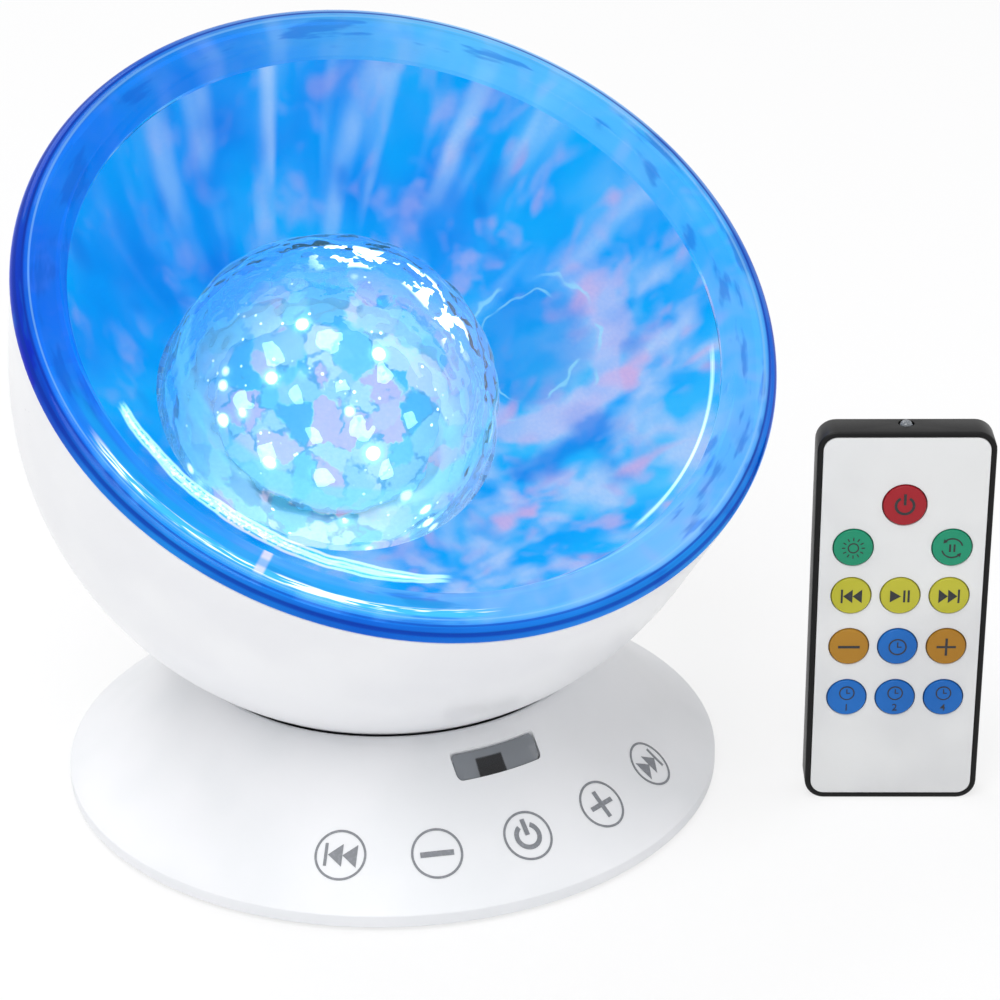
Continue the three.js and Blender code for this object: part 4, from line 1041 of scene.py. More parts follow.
@dataclass(frozen=True)
class WaveWall(Finish):
    """The reflector's satin wall with the wave light painted on it as glow, and a rippled caustic loop of painted light
    beside the dome.
    """

    strength: float = 1.0

    def build(self, graph: Graph, shader: bpy.types.Node) -> None:
        """Joins the painted wave light and the painted caustic loop as the wall's glow.

        Args:
            graph: The material's tree.
            shader: Its shader.
        """
        # Painted light: the wall glows with the wave light, though it is no lamp.
        place = head_place(graph)
        waves = graph.group(wave_group(), Vector=place, Lift=0.0).outputs["Colour"]
        gaps = graph.span(graph.cloud(place, 0.09, 1.0), 0.44, 0.56)
        # Painted caustic loop: a pale band and two thin bright lines of painted light, painted darker inside.
        _, reach, _, y = graph.polar(graph.stretched(graph.moved(place, (-42.0, -8.0, 0.0)), (1.0, 0.8, 1.0)))
        loop = graph.plus(reach, graph.times(graph.cloud(place, 0.11), 8.0))
        caustic_band = graph.times(graph.within(loop, 18.5, 22.5, 2.0), graph.span(y, 14.0, -2.0), 0.55)
        pool = graph.mix(graph.times(graph.span(loop, 18.5, 13.0), 0.5), waves, "0a86e6")
        caustic_banded = graph.mix(caustic_band, pool, "c6c4f2")
        lines = graph.most(graph.near(loop, 18.0, 0.18, 0.35), graph.near(loop, 14.6, 0.12, 0.3))
        grained(graph, shader, 700.0, 0.5, 0.1)
        graph.join(shader, {
            "Base Color": "04122e",
            "Emission Color": graph.mix(graph.times(lines, gaps, 0.6), caustic_banded, "9ce4fb"),
            "Emission Strength": self.strength,
            "Specular IOR Level": 0.03,
        })


@dataclass(frozen=True)
class LensWindow(Finish):
    """The lens's clear sunk window, with the bright bows of light that the waves throw along its edge painted into its
    glow, and a painted highlight line on its near right side.
    """

    strength: float = 0.9
    bow_radius: float = 64.2
    side_highlight_radius: float = 66.7

    def build(self, graph: Graph, shader: bpy.types.Node) -> None:
        """Joins the painted bows of light, with their painted glints and pink tint, to a clear, slightly blue plate.

        Args:
            graph: The material's tree.
            shader: Its shader.
        """
        place = head_place(graph)
        angle, radius, _, _ = graph.polar(place)
        fleck = graph.cloud(place, 1.1, 3.0, 0.6)
        drift = graph.cloud(place, 0.14)
        # Painted light: bright bows along the lower edge, their edges brighter, with painted glints and a pink tint.
        off = graph.math("ABSOLUTE", graph.minus(radius, graph.plus(self.bow_radius, graph.times(drift, 1.2))))
        taper = graph.span(angle, -103.0, -120.0)
        start = graph.span(angle, -140.0, -172.0)
        half = graph.plus(0.1, graph.times(taper, graph.minus(0.75, graph.times(start, 0.45))))
        middle = graph.span(angle, -126.0, -140.0)
        lower = graph.within(angle, -170.0, -105.0, 2.5)
        inside = graph.times(graph.span(off, graph.plus(half, 0.35), half), lower)
        edges = graph.times(graph.near(off, half, 0.12, 0.35), lower)
        glint_spots = graph.plus(0.10, graph.times(graph.span(fleck, 0.48, 0.60), 0.9))
        painted_glints = graph.times(glint_spots, graph.plus(0.12, graph.times(middle, 0.88)))
        # Painted highlight line on the near right side.
        side = graph.times(graph.near(radius, self.side_highlight_radius, 0.12, 0.3), graph.within(angle, -63.0, -24.0, 5.0), 0.5)
        bright = graph.most(graph.most(graph.times(inside, painted_glints), graph.times(edges, 0.75)), side)
        warm = graph.times(graph.within(angle, -143.0, -124.0, 6.0), graph.span(drift, 0.40, 0.52))
        cyan = graph.mix(graph.times(inside, 0.7), "000000", "1cb4ee")
        graph.join(shader, {
            "Emission Color": graph.mix(bright, cyan, graph.mix(warm, "d8f8ff", "ffd4ea")),
            "Emission Strength": self.strength,
            "Base Color": graph.mix(graph.span(fleck, 0.3, 0.7), "f4fbff", "eaf6ff"),
            "Transmission Weight": 1.0,
            "Roughness": 0.0,
            "IOR": 1.08,
        })


@dataclass(frozen=True)
class LitRim(Finish):
    """The lens's clear lip, its glow painted: painted shade in deep blue at the sides away from the light, and a
    painted reflection in pale blue where the background shines in.
    """

    strength: float = 0.8
    tab_angle: float = -134.0
    # Colours of the painted highlights along the lip and on the snap tab.
    hot: Colour = (1.6, 1.75, 1.8, 1.0)
    warm: Colour = (1.4, 1.1, 1.3, 1.0)

    def build(self, graph: Graph, shader: bpy.types.Node) -> None:
        """Joins the painted shade and reflection round the lip, its painted bright bow, the painted highlight of its
        snap tab, and the painted lines that run along it.

        Args:
            graph: The material's tree.
            shader: Its shader.
        """
        place = head_place(graph)
        angle, radius, _, _ = graph.polar(place)
        waves = graph.group(wave_group(), Vector=place, Lift=-0.04).outputs["Colour"]
        spot = graph.add("ShaderNodeCombineXYZ")
        turned_by = graph.math("RADIANS", angle)
        graph.join(spot, {
            "X": graph.times(graph.math("COSINE", turned_by), 4.5),
            "Y": graph.times(graph.math("SINE", turned_by), 4.5),
            "Z": graph.times(radius, 0.35),
        })
        flow = graph.noise(spot.outputs[0], 1.0, 3.0, 0.5).outputs["Fac"]
        round_share = graph.math("DIVIDE", graph.plus(angle, 180.0), 360.0)
        stirred = graph.plus(round_share, graph.times(graph.minus(flow, 0.5), 0.09))
        # Painted shade and reflection: deep blue on the sides away from the light, pale blue where the background
        # shines in.
        deep_blue, strong_blue, clear_blue, pale_blue = "0410ac", "045ec4", "1c8edc", "9ed2ea"
        edge = graph.ramp(stirred, [
            (0.0, deep_blue), (0.09, clear_blue), (0.17, strong_blue), (0.33, clear_blue), (0.45, strong_blue),
            (0.66, pale_blue), (0.82, strong_blue), (1.0, deep_blue),
        ])
        shelf = graph.ramp(stirred, [
            (0.0, "0266dc"), (0.12, "34acf2"), (0.30, "84c6f4"), (0.50, "3cb8f6"), (0.66, "6cd2f4"), (0.80, "1080d8"),
            (1.0, "025cda"),
        ])
        lip = graph.mix(graph.span(radius, 76.9, 78.4), graph.mix(0.75, waves, shelf), edge)
        # Painted shade: darker patches along the lip.
        shaded = graph.mix(graph.times(graph.span(flow, 0.46, 0.36), 0.5), lip, strong_blue)
        fine = graph.noise(graph.stretched(spot.outputs[0], (1.5, 1.5, 5.0)), 1.0, 2.0, 0.6).outputs["Fac"]
        # Painted highlight: a bright bow with glints along the near left of the lip.
        bow = graph.times(graph.near(radius, 75.2, 0.55, 0.6), graph.within(angle, -160.0, -104.0, 9.0))
        hot = graph.mix(graph.span(fine, 0.50, 0.62), "4cd4f6", self.hot)
        bowed = graph.mix(graph.times(bow, 0.95), shaded, hot)
        # Painted highlight of the snap tab, in the shape of a T.
        stem = graph.times(graph.near(angle, self.tab_angle, 0.5, 0.5), graph.within(radius, 67.5, 75.5, 1.0))
        bar = graph.times(graph.near(angle, self.tab_angle, 1.6, 0.8), graph.near(radius, 68.4, 0.35, 0.4))
        tab_highlighted = graph.mix(graph.times(graph.most(stem, bar), 0.6), bowed, self.warm)
        # Painted light: a cyan band along the near left side.
        band = graph.times(graph.near(radius, 73.4, 0.5, 0.8), graph.within(angle, -168.0, -110.0, 12.0), 0.6)
        banded = graph.mix(band, tab_highlighted, "0cb2e8")
        # Painted shade lines near the lip's outer edge, and a painted highlight line along the bead.
        painted_shade_line = graph.most(graph.near(radius, 78.0, 0.1, 0.25), graph.near(radius, 79.5, 0.15, 0.3))
        lined = graph.mix(graph.times(painted_shade_line, 0.8), banded, "042488")
        painted_highlight_line = graph.near(radius, 76.75, 0.1, 0.2)
        graph.join(shader, {
            "Emission Color": graph.mix(graph.times(painted_highlight_line, 0.45), lined, "9ad8fa"),
            "Emission Strength": self.strength,
            "Base Color": graph.mix(flow, "031c50", "083a80"),
            "Transmission Weight": 0.6,
            "Roughness": 0.05,
            "Specular IOR Level": 0.3,
            "IOR": 1.2,
        })


@dataclass(frozen=True)
class RippleGlass(Finish):
    """The ripple dome: hammered clear cells of painted cyan, white and pink light, with painted sparks and thin lines
    of painted shade between the cells.
    """

    strength: float = 0.5
    # Colours of the painted lamp spots, their halos and the painted sparks.
    halo: Colour = (0.9, 2.4, 2.8, 1.0)
    heart: Colour = (6.0, 6.4, 6.4, 1.0)
    spark: Colour = (4.5, 4.8, 4.8, 1.0)

    def cell_light(self, graph: Graph, place: bpy.types.NodeSocket, bent: bpy.types.NodeSocket) -> bpy.types.NodeSocket:
        """Paints the hammered cells' light, each in its own tone, with lines of painted shade between some of them.

        Args:
            graph: The material's tree.
            place: The place in the head's frame.
            bent: The same place, stirred.

        Returns:
            The cells' colour.
        """
        cells = graph.join(graph.cells(bent, 0.15, "SMOOTH_F1"), {"Smoothness": 0.18})
        tint = graph.ramp(graph.drawn(cells, 0), [
            (0.0, "045c98"), (0.14, "20b0d4"), (0.28, "98dce4"), (0.46, "b8d0e0"), (0.66, "f4f8f8"), (0.86, "ffa4c2"),
        ])
        edges = graph.cells(bent, 0.15, "DISTANCE_TO_EDGE")
        # Painted shade: dark lines between some of the cells.
        seam = graph.span(edges.outputs["Distance"], 0.09, 0.02)
        broken = graph.span(graph.cloud(place, 0.22), 0.46, 0.60)
        return graph.mix(graph.times(seam, broken, 0.9), tint, "04305c")

    def lamp_light(self, graph: Graph, place: bpy.types.NodeSocket, near: bpy.types.NodeSocket,
                   glow: bpy.types.NodeSocket) -> bpy.types.NodeSocket:
        """Paints the lamps' bright spots as seen through the dome, and a scatter of painted sparks.

        Args:
            graph: The material's tree.
            place: The place in the head's frame.
            near: The share of the lamps' light there.
            glow: The dome's colour without them.

        Returns:
            The colour with them.
        """
        # Painted glints: sparks, and the lamps' spots with their halos, as seen through the dome.
        sparks = graph.cells(place, 0.55, "F1")
        cluster = graph.span(graph.cloud(place, 0.12, 1.0), 0.48, 0.60)
        point = graph.span(sparks.outputs["Distance"], 0.24, 0.10)
        spark = graph.times(point, graph.span(graph.drawn(sparks, 0), 0.6, 0.75), cluster)
        lamps = graph.cells(graph.moved(place, (3.0, 1.0, 0.0)), 0.12, "F1")
        lit = graph.times(graph.span(graph.drawn(lamps, 1), 0.28, 0.45), near)
        spot = graph.times(graph.span(lamps.outputs["Distance"], 0.46, 0.05), lit)
        haloed = graph.mix(graph.times(graph.times(spot, spot), 0.9), glow, self.halo)
        starred = graph.mix(graph.times(graph.span(lamps.outputs["Distance"], 0.22, 0.10), lit), haloed, self.heart)
        return graph.mix(graph.times(spark, graph.plus(0.08, graph.times(near, 0.9))), starred, self.spark)

    def build(self, graph: Graph, shader: bpy.types.Node) -> None:
        """Joins painted cell light, lines of painted shade, painted sparks and a painted running highlight to a clear
        rippled resin.

        Args:
            graph: The material's tree.
            shader: Its shader.
        """
        place = head_place(graph)
        bent = graph.vector("ADD", place, graph.scaled(graph.warp(place, 0.15, 3.0, 0.6), 8.0))
        waves = graph.group(wave_group(), Vector=graph.scaled(bent, 1.6), Lift=0.02).outputs["Colour"]
        _, core, _, _ = graph.polar(graph.moved(place, (15.0, 11.0, 0.0)))
        near = graph.span(core, 36.0, 14.0)
        _, mid, x, y = graph.polar(graph.moved(place, OFF_DOME))
        # Painted light: the dome paler on its right side.
        right = graph.times(graph.span(x, 2.0, 20.0), graph.span(y, 14.0, -8.0))
        soft = graph.mix(graph.times(right, 0.85), graph.mix(0.75, waves, "6ea0b4"), "c4cce0")
        glow = graph.mix(graph.times(near, 0.9), soft, self.cell_light(graph, place, bent))
        sparked = self.lamp_light(graph, place, near, glow)
        # Painted highlight: a white highlight running along an arch at the upper right.
        _, arch, over, up = graph.polar(graph.moved(place, (10.0, 2.0, 0.0)))
        blob = graph.cloud(bent, 0.2, shift=(4.0, 1.0, 0.0))
        quarter = (graph.span(over, -4.0, 6.0), graph.span(up, -6.0, 3.0))
        on_arch = graph.times(graph.within(arch, 20.5, 27.5, 1.5), *quarter)
        running_highlight = graph.times(on_arch, graph.span(blob, 0.53, 0.57))
        shone = graph.mix(running_highlight, sparked, "ffffff")
        # Painted light: a thin bright line round the dome's outline.
        rimmed = graph.mix(graph.times(graph.within(mid, 33.4, 34.6, 0.7), 0.7), shone, "8ee4fa")
        level = graph.plus(0.7, graph.most(graph.times(near, 0.3), graph.times(running_highlight, 4.0)))
        behind = graph.add("ShaderNodeNewGeometry").outputs["Backfacing"]
        bumped(graph, shader, graph.cloud(place, 0.17, 1.0), 0.45, 0.002)
        graph.join(shader, {
            "Emission Color": graph.scaled(rimmed, graph.times(level, graph.minus(1.0, behind))),
            "Emission Strength": self.strength,
            # Paler near the lamps: painted light in the resin's tint.
            "Base Color": graph.mix(near, "8fd8fa", "e8fbff"),
            "Transmission Weight": 1.0,
            "Roughness": 0.0,
            "IOR": 1.17,
        })


@dataclass(frozen=True)
class LampGlow(Finish):
    """A lit white part, with a slightly uneven glow."""

    colour: str
    second: str
    strength: float
    body: str = "6fa4bc"

    def build(self, graph: Graph, shader: bpy.types.Node) -> None:
        """Joins the uneven glow.

        Args:
            graph: The material's tree.
            shader: Its shader.
        """
        fleck = graph.span(graph.noise(object_place(graph), 500.0).outputs["Fac"], 0.3, 0.7)
        graph.join(shader, {
            "Emission Color": graph.mix(fleck, self.colour, self.second),
            "Emission Strength": self.strength,
            "Base Color": self.body,
        })


BOWL_WHITE = Moulded("bowl_white", "bowl_white", "f0f1f4", "f5f6f8", roughness=0.3, drift=0.06, relief=0.03, coat=0.15)
BASE_WHITE = Moulded("base_white", "base_white", "eaecef", "eff0f3", roughness=0.42)
INNER_WHITE = Moulded("inner_white", "inner_white", "dfe2e5", "e7e9eb", roughness=0.55, grain=1800.0)
BLACK_PART = Moulded("black_part", "black_part", "121315", "18191c", roughness=0.45, gloss=0.3)
GREY_RUBBER = Moulded("grey_rubber", "grey_rubber", "38393b", "434446", roughness=0.85, grain=2600.0, relief=0.5)
NYLON = Moulded("nylon", "nylon", "d6d2c6", "dedad0", roughness=0.5)
REMOTE_BLACK = Moulded("remote_black", "remote_black", "070708", "0c0c0d", roughness=0.42, gloss=0.22)
REMOTE_SILVER = Moulded("remote_silver", "remote_silver", "dadbdc", "e5e6e6", roughness=0.34, grain=2200.0, gloss=0.4)
STEEL = Metal("bright_steel", "bright_steel")
BOARD_GREEN = CircuitBoard("board_green", "board_green")
EMITTER_SMOKE = SmokedClear("smoke_clear", "smoke_window", "9ca2aa")
RECEIVER_WINDOW = ReceiverWindow("smoke_window", "smoke_window", "b6bcc4")
LENS_WINDOW = LensWindow("lens_window", "blue_lens")
LIT_RIM = LitRim("lit_rim", "blue_lens")
WAVE_WALL = WaveWall("wave_wall", "wave_reflector")
RIPPLE_GLASS = RippleGlass("ripple_glass", "ripple_clear")
LAMP_BOARD = LampGlow("lamp_board", "lamp_white", "5aa8c8", "8cc4d8", 0.1)
LAMP_CYAN = LampGlow("lamp_cyan", "lamp_white", "c8f4ff", "e8fcff", 0.7)
GREY_INK = Print("grey_ink", "base_white", "7d8086")
DARK_INK = Print("dark_ink", "remote_black", "1f2125")
KEY_FINISHES = {
    name: Moulded(f"key_{name}", f"key_{name}", first, second, roughness=0.35, gloss=0.3)
    for name, first, second in (
        ("red", "94101c", "a01824"),
        ("green", "128460", "18906c"),
        ("yellow", "b2ae2a", "bcb836"),
        ("orange", "a6741a", "ae7e24"),
        ("blue", "0e62b4", "166cc0"),
    )
}


# Stands and reporting


@dataclass(frozen=True)
class Stand:
    """Where a sub-assembly's own frame stands at rest, in millimetres and degrees."""

    shift: tuple[float, float, float] = (0.0, 0.0, 0.0)
    turn: float = 0.0
    lean: float = 0.0

    def matrix(self) -> Matrix:
        """The matrix from the sub-assembly's millimetres to the object's metres."""
        stood = carried(*self.shift) @ turned(self.turn, "Z") @ turned(self.lean, "X")
        return Matrix.Scale(1.0 / MILLIMETRES, 4) @ stood


HEAD = Stand(shift=(0.0, 0.0, 94.56), lean=33.0)
BASE = Stand(turn=2.6)
REMOTE = Stand(shift=(89.6, -63.5, 0.0), turn=-27.3)


def settle(piece: bpy.types.Object, stand: Stand, body: str, finish: Finish, replaces: Sequence[str] = (),
           smooth: float = 32.0) -> bpy.types.Object:
    """Puts a finished piece in its place, on its body and in its finish.

    Args:
        piece: The piece, in its sub-assembly's frame in millimetres.
        stand: The sub-assembly's stand.
        body: The moving body that carries it.
        finish: Its finish.
        replaces: The fixed model's nodes that it stands for.
        smooth: Angle in degrees under which edges are shaded smooth.

    Returns:
        The same piece.
    """
    shifted(piece, stand.matrix())
    choose(piece)
    bpy.ops.object.shade_smooth_by_angle(angle=math.radians(smooth))
    piece.data.materials.clear()
    piece.data.materials.append(finish.material())
    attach(piece, body)
    if replaces:
        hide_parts(*replaces)
    log.info("%s rides on %s, %d faces", piece.name, body, len(piece.data.polygons))
    return piece


def dress(finish: Finish, *names: str) -> None:
    """Puts a finish on nodes of the fixed model.

    Args:
        finish: The finish.
        names: The nodes' names.
    """
    for name in names:
        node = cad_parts[name]
        node.data.materials.clear()
        node.data.materials.append(finish.material())
        log.info("%s is finished in %s", name, finish.name)


# Signs


class Sign(Enum):
    """The printed signs, all of them common symbols or plain numbers."""

    POWER = "power"
    MINUS = "minus"
    PLUS = "plus"
    BACK = "back"
    FORWARD = "forward"
    PLAY = "play"
    SUN = "sun"
    TURN = "turn"
    CLOCK = "clock"


@dataclass(frozen=True)
class SignMaker:
    """Draws flat signs in the XY plane, a unit circle's size, with Y up."""

    line: float = 0.12
    font_growth: float = 0.012

    def placed(self, name: str, x: float, y: float, size: tuple[float, float], turn: float) -> bpy.types.Object:
        """Names the shape just added, and gives it its size, turn and place.

        Args:
            name: The stroke's name.
            x: Its middle across.
            y: Its middle up.
            size: What its width and height are multiplied by.
            turn: Its turn in degrees.

        Returns:
            The stroke.
        """
        piece = named(name)
        piece.scale = (*size, 1.0)
        piece.rotation_euler = (0.0, 0.0, math.radians(turn))
        piece.location = (x, y, 0.0)
        apply_place()
        return piece

    def bar(self, x: float, y: float, width: float, height: float, turn: float = 0.0) -> bpy.types.Object:
        """A straight stroke.

        Args:
            x: Its middle across.
            y: Its middle up.
            width: Its width.
            height: Its height.
            turn: Its turn in degrees.

        Returns:
            The stroke.
        """
        clear_selection()
        bpy.ops.mesh.primitive_plane_add(size=1.0)
        return self.placed("bar", x, y, (width, height), turn)

    def triangle(self, x: float, y: float, length: float, breadth: float, turn: float) -> bpy.types.Object:
        """A filled triangle round a middle point, whose tip looks along the turn.

        Args:
            x: Its middle across.
            y: Its middle up.
            length: From its foot to its tip.
            breadth: Breadth of its foot.
            turn: Where its tip looks, in degrees.

        Returns:
            The stroke.
        """
        clear_selection()
        bpy.ops.mesh.primitive_circle_add(vertices=3, radius=1.0, fill_type="NGON", location=(0.0, -0.25, 0.0))
        apply_place()
        return self.placed("triangle", x, y, (breadth / math.sqrt(3.0), length / 1.5), turn - 90.0)

    def loop(self, radius: float, line: float, start: float = 0.0, end: float = 360.0,
             steps: int = 48) -> bpy.types.Object:
        """A round stroke, whole or open between two angles measured from X.

        Args:
            radius: Its outer radius.
            line: Its breadth.
            start: Angle at which it starts, in degrees.
            end: Angle at which it ends.
            steps: Steps in the full circle.

        Returns:
            The stroke.
        """
        clear_selection()
        bpy.ops.mesh.primitive_circle_add(vertices=steps, radius=radius)
        piece = named("loop")
        edit(piece, "EDGE")
        bpy.ops.mesh.extrude_region_move()
        ratio = (radius - line) / radius
        bpy.ops.transform.resize(value=(ratio, ratio, 1.0), center_override=(0.0, 0.0, 0.0))
        bpy.ops.mesh.select_all(action="DESELECT")
        leave_edit()
        if end - start < 360.0:
            for face in piece.data.polygons:
                angle = math.degrees(math.atan2(face.center.y, face.center.x)) % 360.0
                face.select = not (start <= angle <= end or start <= angle + 360.0 <= end)
            edit_selected(piece, "FACE")
            bpy.ops.mesh.delete(type="FACE")
            leave_edit()
        return piece

    def number(self, text: str, size: float, x: float, y: float) -> bpy.types.Object:
        """A plain number, drawn with Blender's own letter shapes.

        Args:
            text: The number.
            size: Its height.
            x: Its middle across.
            y: Its middle up.

        Returns:
            The stroke.
        """
        clear_selection()
        bpy.ops.object.text_add()
        letters = named("number").data
        letters.body = text
        letters.size = size
        letters.align_x = letters.align_y = "CENTER"
        letters.offset = self.font_growth
        bpy.ops.object.convert(target="MESH")
        piece = bpy.context.view_layer.objects.active
        piece.location = (x, y, 0.0)
        apply_place()
        tidy_surface(piece, 0.0005)
        return piece

    def around(self, radius: float, degrees: float) -> tuple[float, float]:
        """A point at a radius and an angle."""
        return radius * math.cos(math.radians(degrees)), radius * math.sin(math.radians(degrees))

    def strokes(self, sign: Sign) -> list[bpy.types.Object]:
        """Draws one sign.

        Args:
            sign: The sign.

        Returns:
            Its parts, none of them overlapping another.
        """
        line = self.line
        if sign is Sign.POWER:
            return [self.loop(0.56, line, 122.0, 418.0), self.bar(0.0, 0.36, line, 0.66)]
        if sign is Sign.MINUS:
            return [self.bar(0.0, 0.0, 1.3, line * 1.15)]
        if sign is Sign.PLUS:
            half = 0.58
            middle = (half + line / 2) / 2
            sides = [self.bar(side * middle, 0.0, half - line / 2, line) for side in (-1, 1)]
            return [self.bar(0.0, 0.0, line, 2 * half), *sides]
        if sign in (Sign.BACK, Sign.FORWARD):
            way, turn = (-1, 180.0) if sign is Sign.BACK else (1, 0.0)
            heads = [self.triangle(way * x, 0.0, 0.56, 0.9, turn) for x in (-0.36, 0.2)]
            return [*heads, self.bar(way * 0.56, 0.0, 0.12, 0.9)]
        if sign is Sign.PLAY:
            bars = [self.bar(x, 0.0, 0.13, 0.8) for x in (0.24, 0.5)]
            return [self.triangle(-0.28, 0.0, 0.66, 0.8, 0.0), *bars]
        if sign is Sign.SUN:
            rays = [self.bar(*self.around(0.58, 30.0 * i), 0.2, 0.07, 30.0 * i) for i in range(12)]
            return [self.loop(0.34, 0.08), *rays]
        if sign is Sign.TURN:
            arcs = [self.loop(0.66, 0.09, start, start + 112.0) for start in (14.0, 194.0)]
            ends = [self.triangle(*self.around(0.615, a), 0.24, 0.28, a + 90.0) for a in (139.0, 319.0)]
            return [*arcs, *ends, *[self.bar(x, 0.0, 0.12, 0.5) for x in (-0.13, 0.13)]]
        hands = [self.bar(0.0, 0.14, 0.08, 0.36), self.bar(0.14, 0.0, 0.2, 0.08)]
        return [self.loop(0.55, 0.09), *hands]


# Base


@dataclass
class Base:
    """The base: shell, seat, window, feet, sockets and touch signs."""

    radius: float = 71.6
    foot_height: float = 0.8
    foot_radius: float = 5.0
    rim_height: float = 2.9
    seat_radius: float = 43.0
    seat_lip: float = 0.8
    height: float = 29.0
    hollow: float = 2.0
    wall: float = 2.2
    seat_sphere: float = 78.4
    seat_wall: float = 2.2
    centre: float = 94.56
    bay_half_width: float = 14.0
    bay_face: float = 56.0
    bay_wall: float = 1.6
    bay_low: float = 4.2
    bay_high: float = 12.2
    socket_height: float = 8.2
    socket_place: float = 7.0
    touch_radius: float = 61.5
    touch_pitch: float = 18.6
    sign_radius: float = 5.4
    sign_ring: float = 0.5
    window_near: float = 46.3
    window_far: float = 50.69
    window_half: float = 9.9
    window_sunk: float = 0.35
    window_depth: float = 2.6
    fixing_radius: float = 58.0
    shell_tries: int = 8
    ink_gap: float = 0.00004
    ink_thickness: float = 0.00006
    touch_signs: tuple[Sign, ...] = (Sign.BACK, Sign.MINUS, Sign.POWER, Sign.PLUS, Sign.FORWARD)

    def rim_top(self) -> float:
        """Height at which the sloping top starts."""
        return self.foot_height + self.rim_height

    def slope_width(self) -> float:
        """Breadth of the sloping top in plan."""
        return self.radius - self.seat_radius - self.seat_lip

    def slope(self, share: float) -> tuple[float, float]:
        """A point of the sloping top, from the rim at 0 to the seat's edge at 1."""
        sag = self.hollow * 4.0 * share * (1.0 - share)
        return self.radius - self.slope_width() * share, self.rim_top() + (self.height - self.rim_top()) * share - sag

    def slope_height(self, radius: float) -> float:
        """Height of the sloping top at a plan radius."""
        return self.slope((self.radius - radius) / self.slope_width())[1]

    def slope_angle(self, radius: float) -> float:
        """Angle of the sloping top at a plan radius, in degrees."""
        return math.degrees(math.atan2(self.slope_height(radius - 0.5) - self.slope_height(radius + 0.5), 1.0))

    def dish(self, sphere: float, low: float, high: float, steps: int) -> Outline:
        """Points of a spherical dish about the head's centre, between two plan radii."""
        radii = [low + (high - low) * i / steps for i in range(steps + 1)]
        return [(r, self.centre - math.sqrt(sphere**2 - r**2)) for r in radii]

    def window_block(self, name: str, grow: float) -> bpy.types.Object:
        """A prism over the window's outline.

        Args:
            name: The block's name.
            grow: How far it is grown all round.

        Returns:
            The block.
        """
        near = self.window_near - grow
        far = self.window_far + grow
        far_angle = math.degrees(math.asin((self.window_half + grow) / far))
        near_angle = math.degrees(math.asin((self.window_half + grow) / near))
        points = arc(0.0, 0.0, far, -90.0 - far_angle, -90.0 + far_angle, 16)
        points += arc(0.0, 0.0, near, -90.0 + near_angle, -90.0 - near_angle, 16)
        piece = traced(name, [(x, y, 6.0) for x, y in points])
        bpy.ops.mesh.edge_face_add()
        bpy.ops.mesh.extrude_region_move(TRANSFORM_OT_translate={"value": (0.0, 0.0, 40.0)})
        leave_edit()
        tidy_surface(piece)
        return softened(piece, 1.1, 4)

    def shell_outline(self) -> Outline:
        """The shell's section: rim, slope, lip, seat dish, and back along its inside.

        Returns:
            Pairs of radius and height.
        """
        lip_r, lip_z = self.slope(1.0)
        outline = [(self.radius - 0.3, self.foot_height), (self.radius, self.foot_height + 0.3)]
        outline += arc(self.radius - 0.45, self.rim_top() - 0.4, 0.45, 0.0, 48.0, 4)
        outline += [p for p in (self.slope(i / 24) for i in range(1, 24)) if p[0] < self.radius - 0.6]
        outline += arc(lip_r - 0.35, lip_z - 0.45, 0.4, 60.0, 125.0, 5)
        outline += self.dish(self.seat_sphere, self.seat_radius - 0.1, 0.0, 24)
        outline += self.dish(self.seat_sphere + self.seat_wall, 0.0, self.seat_radius - 1.4, 18)
        outline += [(r - 0.3, z - 3.0) for r, z in (self.slope(s) for s in (0.97, 0.8, 0.6, 0.4, 0.25, 0.13))]
        return [*outline, (self.radius - self.wall, self.foot_height)]

    def shell_form(self) -> bpy.types.Object:
        """Shapes the shell with its seat dish, window and socket bay.

        Returns:
            The shell in its own frame.
        """
        shell = spun("base_shell_form", self.shell_outline(), 160)
        half, wall = self.bay_half_width, self.bay_wall
        block = box("bay", (-half - wall, self.bay_face - wall, self.bay_low - 1.3),
                    (half + wall, self.radius, self.bay_high + wall))
        edge = self.radius - 0.4
        under_slope = [(0.0, 1.0), (edge, 1.0), (edge, self.rim_top() - 0.4)]
        under_slope += [self.slope(i / 24) for i in range(1, 24)]
        combine(block, spun("bay_limit", [*under_slope, (0.0, self.height)], 96), Join.KEEP)
        combine(shell, block, Join.ADD)
        corners = (-half, self.bay_face, self.bay_low), (half, self.radius + 5.0, self.bay_high)
        combine(shell, rounded_slab("niche", *corners, 1.2, 0.0, 4), Join.CUT)
        for side, radius in ((-1, 3.7), (1, 3.1)):
            hole = cylinder("socket_hole", radius, -4.0, 4.0)
            place = carried(side * self.socket_place, self.bay_face, self.socket_height)
            combine(shell, shifted(hole, place @ turned(-90.0, "X")), Join.CUT)
        combine(shell, self.window_block("window_hole", 0.0), Join.CUT)
        tidy_surface(shell, 0.004)
        return shell

    def build_shell(self) -> bpy.types.Object:
        """Builds the shell, and again where the exact solver has left faces of the bay out, as it does now and then.

        Returns:
            The shell.
        """
        shell = self.shell_form()
        for _ in range(self.shell_tries):
            if closed(shell):
                break
            log.info("%s has open edges and is built again", shell.name)
            bpy.data.meshes.remove(shell.data)
            shell = self.shell_form()
        return settle(shell, BASE, "base", BASE_WHITE, ["base_shell"])

    def build_window(self) -> None:
        """The smoked window, its face just under the shell's."""
        radii = [self.window_near - 3.0 + i * 1.2 for i in range(9)]
        face = [(r, self.slope_height(r) - self.window_sunk) for r in radii]
        back = [(r, z - self.window_depth) for r, z in reversed(face)]
        band = spun("ir_window_form", face + back, 160)
        combine(band, self.window_block("window_edge", -0.3), Join.KEEP)
        softened(band, 0.25, 2)
        settle(band, BASE, "base", RECEIVER_WINDOW, ["ir_window"])

